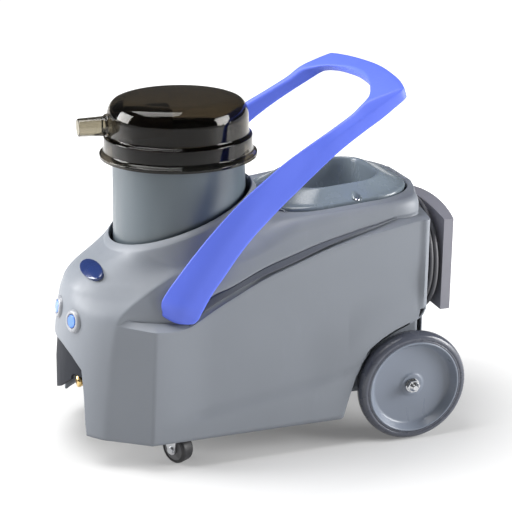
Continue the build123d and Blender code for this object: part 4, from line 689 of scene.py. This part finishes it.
# the near arm and half the crossbar, foot to middle, as the five long edges of its section
handleRails = {
    "innerTop": [
        (-171, -147, 252), (-180.5, -145, 257.5), (-185, -144.5, 268.5), (-185.5, -144.5, 282.9),
        (-176.3, -145, 299.8), (-160.6, -146, 321.1), (-135.5, -148, 353.4), (-109.2, -151, 385),
        (-80.1, -154, 416.3), (-51.4, -155, 443.8), (-21.7, -156, 468.3), (9.5, -156, 491.3),
        (46.9, -153, 513.7), (85.5, -148.5, 535.3), (121.2, -143.5, 556), (145.2, -136, 574.5),
        (158, -122, 581), (166, -106, 585.5), (169.5, -97, 587.3), (173.5, -87, 589), (179.5, -69, 591.5),
        (187, -38, 595), (191, 0, 596.5),
    ],
    "ridge": [
        (-173, -148.5, 252.5), (-182.5, -147.5, 258), (-187, -148, 269), (-187.9, -148, 283.8),
        (-178.8, -149, 301.3), (-163.1, -151, 323.1), (-138.5, -154, 355.4), (-112.4, -158, 387.4),
        (-83.3, -161, 419.3), (-54.3, -163, 447.3), (-24.6, -165, 471.8), (6.2, -165, 495.8),
        (43.6, -162, 518.2), (83.8, -157.5, 540.2), (120, -153.5, 561.5), (147.2, -151, 581),
        (170, -153.5, 588), (189, -154, 593.5), (196.5, -152, 596), (200.5, -144, 597.3),
        (207.5, -116.5, 599.3), (215, -61.5, 601.7), (219.5, 0, 602.6),
    ],
    "crease": [
        (-165, -154, 248.5), (-168, -158, 250.5), (-165.5, -163.5, 262), (-163.4, -166.3, 276.5),
        (-152.6, -166.8, 292.7), (-139.6, -167.5, 311.8), (-118.7, -168.6, 341.7), (-94.5, -169.2, 373.5),
        (-69, -169.7, 405.3), (-43.5, -170, 432.3), (-14, -170, 451), (17.5, -169.5, 471.5),
        (53.5, -168.3, 500.5), (90, -166.6, 529.8), (126, -164.4, 551), (158.2, -162.4, 569.9),
        (180, -160.8, 582.5), (197, -158.6, 592), (203, -156.5, 595.8), (206.5, -147, 597),
        (214, -118, 599), (222.5, -62, 601.3), (227, 0, 602.2),
    ],
    "outerLow": [
        (-152, -158, 247), (-143.5, -163, 247.5), (-134.5, -169, 254), (-128, -172.2, 267),
        (-120, -172.8, 281.5), (-109.5, -173, 298.5), (-91, -173.6, 323.6), (-68.7, -174, 354.3),
        (-44.5, -174.4, 382.8), (-20.5, -174.8, 406.7), (0.5, -175, 427.5), (26.5, -174.7, 451),
        (61.5, -173.7, 481.7), (101, -171.5, 512), (138.2, -168.2, 535.6), (169.7, -165.1, 554.2),
        (189, -162.7, 567.5), (203, -160.7, 577), (207.7, -158.5, 580.5), (210.5, -148, 582.5),
        (217.5, -120, 587), (225.5, -62, 590.5), (229, 0, 592),
    ],
    "innerLow": [
        (-158, -147, 249), (-148, -145, 249.5), (-139, -144.5, 256), (-132, -144.5, 268.5),
        (-124.3, -145, 282.5), (-114.4, -145.5, 299.6), (-95.6, -146, 324.7), (-73, -146.5, 355.3),
        (-50, -147, 384.2), (-28, -147.5, 410.6), (-8, -148, 432.1), (17.5, -148, 457.8), (54.5, -147, 489),
        (96, -145, 517.4), (132.1, -139, 540.9), (162.1, -127, 562.3), (169, -119, 569), (175, -110, 573.5),
        (178.5, -102, 575.3), (181, -92, 577), (185, -72, 579), (189, -40, 580.6), (191, 0, 581.5),
    ],
}


def handleGrid():
    rails = np.array(list(handleRails.values()), float)
    middle = rails.mean(axis=0)
    walk = np.concatenate([[0], np.cumsum(np.linalg.norm(np.diff(middle, axis=0), axis=1))])
    far = rails[:, -2::-1] * mirror
    rails = np.concatenate([rails, far], axis=1)
    walk = np.concatenate([walk, 2 * walk[-1] - walk[-2::-1]])
    near, distant = handlePlan["footRun"], walk[-1] - handlePlan["footRun"]
    feet = np.linspace(0, near, 22)[:-1], np.linspace(distant, walk[-1], 22)[1:]
    at = np.concatenate([feet[0], np.linspace(near, distant, 230), feet[1]])
    rails = np.stack([through(np.column_stack([walk, rail]), at) for rail in rails], axis=1)
    # each section is the five corners with their own roundings
    high = ease(np.minimum(at, walk[-1] - at), handlePlan["softFrom"], handlePlan["crispFrom"])[:, None]
    soft = np.array(handlePlan["roundLow"]) * (1 - high) + np.array(handlePlan["roundHigh"]) * high
    bends = softened(np.roll(rails, 1, axis=1), rails, np.roll(rails, -1, axis=1), soft, 0.46, 7)
    loop = bends.reshape(len(at), -1, 3)
    loop = np.concatenate([loop, loop[:, :1]], axis=1)
    ends = [loop[i].mean(axis=0) + 0 * loop[i] for i in (0, -1)]
    return np.concatenate([ends[0][None], loop, ends[1][None]])


handleSkin = piece("handleSkin", [handleGrid()], "handle", ("handle",), 50)
print("handle", len(handleSkin.data.polygons))

bosses = {"spots": ((-151.5, 300.0), (-118.5, 337.0)), "radius": 10.0, "root": 96.0, "seat": 153.5}


# the posts that the handle is bolted to: plain rods along Y, flared where they leave the body
def bossGrids():
    r, root, seat = bosses["radius"], bosses["root"], bosses["seat"]
    profile = rounded([(0, root), (r + 4, root), (r, root + 26), (r, seat), (0, seat)], [0, 0, 6, 1, 0])
    return bothSides([turned(profile, (x, 0, z), "y", 48) for x, z in bosses["spots"]])


piece("handleBosses", bossGrids(), "body", (), 40)


# Badge: a domed oval let into the bonnet, its height falling with the square of the share out

badge = {
    "spot": (-274.3, -38.0, 311.7), "halfHigh": 15.0, "halfLong": 37.0, "swing": 16.7, "lean": 33.0,
    "roll": -7.0, "dome": 2.8, "edge": 0.9,
}


def badgeGrid():
    share = np.concatenate([np.linspace(0, 0.9, 10), [0.95, 0.98, 1.0, 1.0, 1.0]])[:, None]
    height = badge["edge"] + badge["dome"] * (1 - share**2)
    height[-4:, 0] += (-0.1, -0.7, -1.6, -5.0)
    turn = np.linspace(0, 2 * np.pi, 97)
    lean, swing = np.radians(badge["lean"]), np.radians(badge["swing"])
    up = np.array([np.cos(lean) * np.cos(swing), np.cos(lean) * np.sin(swing), np.sin(lean)])
    along = np.array([-np.sin(swing), np.cos(swing), 0])
    out = np.cross(up, along)
    roll = np.radians(badge["roll"])
    up, along = np.cos(roll) * up + np.sin(roll) * along, np.cos(roll) * along - np.sin(roll) * up
    flat = (share * np.cos(turn))[..., None] * badge["halfHigh"] * up
    flat = flat + (share * np.sin(turn))[..., None] * badge["halfLong"] * along
    return flat + height[..., None] * out + np.array(badge["spot"])


piece("badgeSkin", [badgeGrid()], "badge", ("front_badge",), 40)


# Button bezels: a thick ring turned round the press axis, its face standing proud of the nose

bezel = {
    "ring": [
        (11.3, -4), (11.3, 4.8), (12.4, 5.9), (15.4, 5.9), (17.6, 4.4), (18.7, 1.6), (19, -4), (11.3, -4),
    ],
    "round": [0, 0.8, 0.8, 1.4, 1.6, 1.2, 0, 0], "capHalf": 13.0, "capRise": 6.0,
}
pressAxis = {row["name"]: np.array(row["axis"], float) for row in frame["record"]["behaviour"]["joints"]}
for sideName in ("near", "far"):
    inward = pressAxis["button_press_" + sideName]
    capLow, capHigh = (np.array(corner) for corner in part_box("button_cap_" + sideName))
    seat = (capLow + capHigh) * 500 - (shiftX, 0, 0) - inward * (bezel["capHalf"] - bezel["capRise"])
    across = np.cross((0, 0, 1), inward)
    across /= np.linalg.norm(across)
    upward = np.cross(inward, across)
    ringGrid = turned(rounded(bezel["ring"], bezel["round"]), (0, 0, 0), "z", 72)
    ringGrid = ringGrid[..., :1] * across + ringGrid[..., 1:2] * upward - ringGrid[..., 2:] * inward + seat
    piece("bezelSkin_" + sideName, [ringGrid], "bezel", ("button_bezel_" + sideName,), 40)
print("badge and bezels made")


# Lid, tank neck and filler

# radius and height up the lid's outside and inside, from the skirt's edge to the middle of the top
lidShape = {
    "outside": [
        (127, 479), (127, 484), (119.5, 488), (119.5, 513), (113.5, 515), (113, 551), (105, 567), (88, 573),
        (40, 576), (0, 576.6),
    ],
    "inside": [
        (124.2, 479), (124.2, 483), (116.7, 487), (116.7, 510.5), (110.5, 512.5), (110, 549.5),
        (102.6, 564.6), (87, 570.1), (40, 573), (0, 573.6),
    ],
    "round": [0, 1.5, 3, 2.2, 3, 12, 18, 14, 20, 0], "inletZ": 533.0, "domeR": 113.5, "inletLong": 48.0,
}


def lidGrids():
    outside, inside = (rounded(lidShape[face], lidShape["round"], 10) for face in ("outside", "inside"))
    return [turned(np.concatenate([outside[::-1], inside]), (shell["neckX"], 0, 0), "z", 128)]


# the inlet: a tapered tube along X with a rolled tip and a ring boss at the dome
def inletGrids():
    tip = shell["neckX"] - lidShape["domeR"] - lidShape["inletLong"]
    root = shell["neckX"] - lidShape["domeR"] + 2
    boss = [
        (12.2, root), (19, root), (19, root - 5.5), (15.8, root - 8.5), (14.4, tip + 1.2), (13.9, tip),
        (13.1, tip), (12.6, tip + 1), (12.6, root), (12.2, root),
    ]
    profile = rounded(boss, [0, 1, 1.6, 1.6, 0.6, 0.4, 0.3, 0.4, 0, 0])
    return [turned(profile, (0, 0, lidShape["inletZ"]), "x", 64)]


piece("lidSkin", lidGrids(), "clear_lid", ("lid",), 40, body="lid")
inletFinish = smoked("smokedInlet", (0.50, 0.47, 0.395), 1.35)
piece("inletSkin", inletGrids(), "clear_lid", (), 40, body="lid", finish=inletFinish)


# recovery tank: a drafted drum, open on top, with a rolled edge
def tankGrids():
    corners = [(0, 215), (112, 215), (106, 502), (105, 505), (101.5, 505), (101.2, 500), (107, 220), (0, 220)]
    profile = rounded(corners, [0, 6, 2, 1.2, 1.2, 1, 6, 0])
    return [turned(profile, (shell["neckX"], 0, 0), "z", 112)]


neckFinish = moulded("neckBlueGrey", (0.084, 0.106, 0.123), 0.38, depth=0.05)
piece("tankSkin", tankGrids(), "tank", ("recovery_tank",), finish=neckFinish)

filler = {
    "middle": 135.5, "length": 246.0, "width": 220.0, "corner": 75.0, "throatShift": 16.0, "throatZ": 339.0,
    "throat": (46.0, 42.0, 7.0), "mouthShift": -2.5, "screwX": 150.5, "screwY": 105.0, "pocket": 1.5,
    "pocketR": 6.0, "pocketEdge": 8.6, "bow": 6.0,
}
# inset and height over the deck of the rim's rings: skirt, rolled edge, slope, lip
fillerRims = [
    (0, -26), (0, 0.5), (0.5, 2.6), (1.8, 4.4), (3, 5), (4.2, 5.4), (5.8, 5.9), (7.5, 6.6), (9.5, 7.8),
    (12, 9.6), (16, 12.6), (20, 15.8), (27, 21.6), (30, 23.8), (31.5, 24.4), (33, 24.2), (34, 22.8),
    (34.6, 20.5),
]


# a rounded rectangle: corner arcs with even runs between
def ring(halfX, halfY, corner, count=18, run=40):
    turn = np.linspace(0, np.pi / 2, count)
    away = np.stack([np.cos(turn), np.sin(turn)], axis=-1)
    quarter = np.array([halfX - corner, halfY - corner]) + corner * away
    second = quarter[::-1] * (-1, 1)
    share = np.linspace(0, 1, run + 2)[1:-1, None]
    whole = []
    for arc, following in ((quarter, second), (second, -quarter), (-quarter, -second), (-second, quarter)):
        whole += [arc, arc[-1] + (following[0] - arc[-1]) * share]
    return np.concatenate(whole + [quarter[:1]])


# the rim's rings, then a bowed run from the mouth to the throat and the throat's turned-in edge
def fillerGrids():
    hx, hy, r = filler["length"] / 2, filler["width"] / 2, filler["corner"]
    rows = []
    for inset, high in fillerRims:
        plan = ring(hx - 1.45 * inset, hy - 0.98 * inset, r - 0.8 * inset)
        x = plan[:, 0] + filler["middle"] - filler["mouthShift"] * inset / fillerRims[-1][0]
        z = deckHeight(x) + high
        # the two screws sit in round pockets let into the rim's edge
        away = np.hypot(x - filler["screwX"], np.abs(plan[:, 1]) - filler["screwY"])
        floor = deckHeight(x) + filler["pocket"]
        sunk = 1 - ease(away, filler["pocketR"], filler["pocketEdge"])
        rows.append(sheet(x, plan[:, 1], z + (np.minimum(floor, z) - z) * sunk))
    mouth = rows[-1]
    throatX, throatZ = filler["middle"] + filler["throatShift"], filler["throatZ"]
    throatLong, throatWide, throatCorner = filler["throat"]
    throat = ring(*filler["throat"])
    low = sheet(throat[:, 0] + throatX, throat[:, 1], throatZ)
    for share in np.linspace(0.06, 1, 14):
        bow = np.array([0, 0, filler["bow"] * np.sin(np.pi * share)])
        rows.append(mouth + (low - mouth) * share**1.1 - bow)
    for grow, high in ((-1.0, -2.0), (-3.0, -3.0), (-8.0, -3.4)):
        neck = ring(throatLong + grow, throatWide + grow, throatCorner - grow)
        rows.append(sheet(neck[:, 0] + throatX, neck[:, 1], throatZ + high))
    return [np.stack(rows)]


# a pan head over a plain shank, with a cross cut into it
def screwGrid(side):
    top = filler["pocket"] + 4.2
    head = [
        (0, top), (1.2, top - 0.02), (2.4, top - 0.15), (3.6, top - 0.6), (4.5, top - 1.5), (4.8, top - 2.6),
        (4.8, top - 4), (2.1, top - 4), (2.1, top - 14), (0, top - 14),
    ]
    grid = turned(rounded(head, 0.4, 4), (0, 0, 0), "z", 64)
    cross = np.minimum(np.abs(grid[..., 0]), np.abs(grid[..., 1]))
    cut = (1 - ease(cross, 0.35, 0.8)) * (1 - ease(np.hypot(grid[..., 0], grid[..., 1]), 2.6, 3.4))
    grid[..., 2] -= 1.6 * cut * (grid[..., 2] > top - 1.4)
    return grid + (filler["screwX"], side * filler["screwY"], deckHeight(filler["screwX"]))


piece("tankScrewSkin", [screwGrid(-1), screwGrid(1)], slotOf["tank_screws"], ("tank_screws",))
piece("fillerSkin", fillerGrids(), "tank", ("filler_funnel",))
print("lid, tank and filler made")


# Rear wheels

wheel = {"x": 232.5, "z": 95.0, "face": 178.0}
# radius and depth behind the wheel's face
hubProfile = [
    (10.2, 12), (17.5, 12), (21.5, 14), (45, 15.2), (66.5, 14.2), (69.5, 12.6), (75.6, 2.6), (76.6, 0.5),
    (78.3, 0), (79.6, 0.6), (80, 1.8), (80, 38), (74, 38), (72.5, 36), (66.5, 20), (18, 20), (18, 43),
    (10.2, 43), (10.2, 12),
]
hubRound = [0, 1, 3, 20, 2.4, 3, 1.2, 0.8, 0.8, 0.6, 0.6, 1, 1, 2, 2, 1, 1, 0, 0]
tyreProfile = [
    (80.1, 1), (81.2, 0.6), (83, 1.5), (84.4, 0.7), (86.5, 0.5), (91.2, 2.4), (94.2, 7.5), (95, 14),
    (94, 21.5), (91, 29.5), (86.5, 35.5), (80.1, 38), (80.1, 1),
]
tyreRound = [0, 0.6, 0.7, 0.7, 2, 4, 4, 5, 5, 5, 4, 1, 0]
turnings = (("hub", hubProfile, hubRound, "wheel"), ("tyre", tyreProfile, tyreRound, "tyre"))
for sideName, side in (("near", -1.0), ("far", 1.0)):
    for part, corners, rounding, slotName in turnings:
        profile = rounded(corners, rounding)
        profile = np.column_stack([profile[:, 0], side * (wheel["face"] - profile[:, 1])])
        grid = turned(profile, (wheel["x"], 0, wheel["z"]), "y", 128)
        stands = ("wheel_" + part + "_" + sideName,)
        piece(part + "Skin_" + sideName, [grid], slotName, stands, body="wheel_" + sideName)
print("wheels made")


# Wound cord

cord = {
    "radius": 3.75, "hubZ": 281.0, "straight": 19.0, "firstX": 272.85, "lastX": 299.8, "perTurn": 18,
    "drop": 62.0, "gland": (268.6, 24.0, 201.0), "lays": (73.4, 83.2, 94.05), "outerX": 296.0, "tailX": 295.0,
}


# a round cord along points, and its length
def curvePiece(name, points, radius, slotName, stands, body="machine"):
    curve = bpy.data.curves.new(name, "CURVE")
    curve.dimensions = "3D"
    spline = curve.splines.new("NURBS")
    spline.points.add(len(points) - 1)
    spline.points.foreach_set("co", np.column_stack([placed(points), np.ones(len(points))]).ravel())
    spline.order_u = 3
    spline.use_endpoint_u = True
    spline.resolution_u = 4
    made = linked(name, curve)
    bare = bpy.data.meshes.new_from_object(made)
    line = np.array([v.co for v in bare.vertices])
    bpy.data.meshes.remove(bare)
    curve.bevel_depth = radius * 0.001
    curve.bevel_resolution = 5
    curve.use_fill_caps = True
    curve.materials.append(finishes[slotName])
    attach(made, body)
    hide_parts(*stands)
    return made, float(np.linalg.norm(np.diff(line, axis=0), axis=1).sum())


# one lay of the winding: a flattened ring by its turn, drifting along X, slacker below
def lay(turnFrom, turnTo, radius, xFrom, xTo, slack):
    count = int(round((turnTo - turnFrom) * cord["perTurn"]))
    turn = np.linspace(turnFrom, turnTo, count, endpoint=False)
    share = np.linspace(0, 1, count, endpoint=False)
    a = 2 * np.pi * turn
    r = radius / np.cos(np.pi / cord["perTurn"]) + slack * share * np.clip(np.cos(a) + 0.25, 0, 1.25)
    y = -(cord["straight"] * np.clip(1.6 * np.sin(a), -1, 1) + r * np.sin(a))
    z = cord["hubZ"] - r * np.cos(a)
    return np.column_stack([xFrom + (xTo - xFrom) * share, y, z])


inner = lay(0.08, 3.5, cord["lays"][0], cord["firstX"], cord["lastX"], 0.0)
second = lay(3.5, 7.0, cord["lays"][1], cord["lastX"], cord["firstX"], 0.0)
outer = lay(7.0, 9.75, cord["lays"][2], cord["firstX"], cord["outerX"], 10.0)
lead = np.array(cord["gland"]) + [(0, 0, 0), (2.9, -4, 1)]
tail = np.array([(0.6, 0.6, -4), (0.2, 0, -30), (0, 0, -50), (0, 0, -cord["drop"])])
tail = tail + (cord["tailX"], cord["straight"] + cord["lays"][2], cord["hubZ"])
route = np.concatenate([lead, inner, second, outer, tail])
cordNodes = ("power_cord", "cord_core")
cordSkin, cordLong = curvePiece("mainsCord", route, cord["radius"], "cable", cordNodes)
print("cord length", round(cordLong, 3))

# from the pump's outlet forward to the coupler's tail
hosePath = [
    (54.5, -46, 135), (0.5, -46, 135), (-54.5, -80, 129), (-129.5, -112, 128), (-189.5, -100, 136),
    (-217.5, -70, 136), (-247.5, -70, 136),
]
hoseSkin, hoseLong = curvePiece("outletHose", hosePath, 8.0, "rubber", ("outlet_hose",))

# the short sleeve between the tank's outlet and the pump: a turned tube with beaded ends
lowEnd, highEnd = (np.array(corner) * 1000 - (shiftX, 0, 0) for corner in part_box("suction_hose"))
middle = (lowEnd + highEnd) / 2
low, high = lowEnd[2], highEnd[2]
sleeve = [
    (5.8, low), (7.6, low), (8.0, low + 5), (7.6, low + 9), (7.6, high - 9), (8.0, high - 5), (7.6, high),
    (5.8, high), (5.8, low),
]
sleeveGrid = turned(rounded(sleeve, [0, 1, 2, 2, 2, 2, 1, 0, 0], 4), (*middle[:2], 0), "z", 48)
piece("suctionHose", [sleeveGrid], "rubber", ("suction_hose",), 40)
print("hose length", round(hoseLong, 3))


# Floor, light and camera

reach = 40.0
floorSpots = [(-reach, -reach, 0), (reach, -reach, 0), (reach, reach, 0), (-reach, reach, 0)]
floorMesh = bpy.data.meshes.new("paleFloor")
floorMesh.from_pydata(floorSpots, [], [(0, 1, 2, 3)])
pale = Finish("paleFloor")
tone = pale.mix(pale.noise(3.0, 3.0), (0.50, 0.50, 0.50, 1), (0.52, 0.52, 0.52, 1))
# the floor glows more away from the object, so the object's shade stays under it
far = pale.node("ShaderNodeVectorMath", {"operation": "LENGTH"}, {0: pale.place()}, 1)
glow = pale.mix(pale.span(far, 0.3, 1.2), (0.15, 0.15, 0.15, 1), (0.95, 0.95, 0.95, 1))
pale.set(Base_Color=tone, Roughness=0.85, Emission_Color=glow, Emission_Strength=1.0)
floorMesh.materials.append(pale.material)
paleFloor = linked("paleFloor", floorMesh)


def facing(way):
    return way.to_track_quat("-Z", "Y").to_euler()


# place, size and power of each lamp, all aimed at the middle of the body
lamps = {
    "left": ((-2.7, 1.1, 1.3), 1.5, 120.0), "right": ((2.75, -1.4, 1.15), 1.6, 150.0),
    "top": ((-0.9, 0.25, 2.9), 2.0, 104.0),
}
aim = Vector((0, 0, 0.25))
for lampName, (spot, size, power) in lamps.items():
    light = bpy.data.lights.new(lampName, "AREA")
    light.energy = power
    light.size = size
    lamp = linked(lampName, light)
    lamp.location = spot
    lamp.rotation_euler = facing(aim - Vector(spot))

world = bpy.data.worlds.new("softRoom")
world.use_nodes = True
backdrop = world.node_tree.nodes["Background"]
backdrop.inputs[0].default_value = (1, 1, 1, 1)
backdrop.inputs[1].default_value = 0.07
scene.world = world
scene.view_settings.view_transform = "Standard"

view = {
    "spot": (-649.7, -2041.0, 1029.4), "forward": (0.29218, 0.89924, -0.32557), "focalPixels": 1350.0,
    "widePixels": 512,
}
optics = bpy.data.cameras.new("photoCamera")
optics.sensor_width = 36.0
optics.sensor_fit = "HORIZONTAL"
optics.lens = view["focalPixels"] / view["widePixels"] * optics.sensor_width
camera = linked("photoCamera", optics)
camera.location = placed(view["spot"])
camera.rotation_euler = facing(Vector(view["forward"]))
scene.camera = camera

bpy.context.view_layer.update()
print("scene finished")
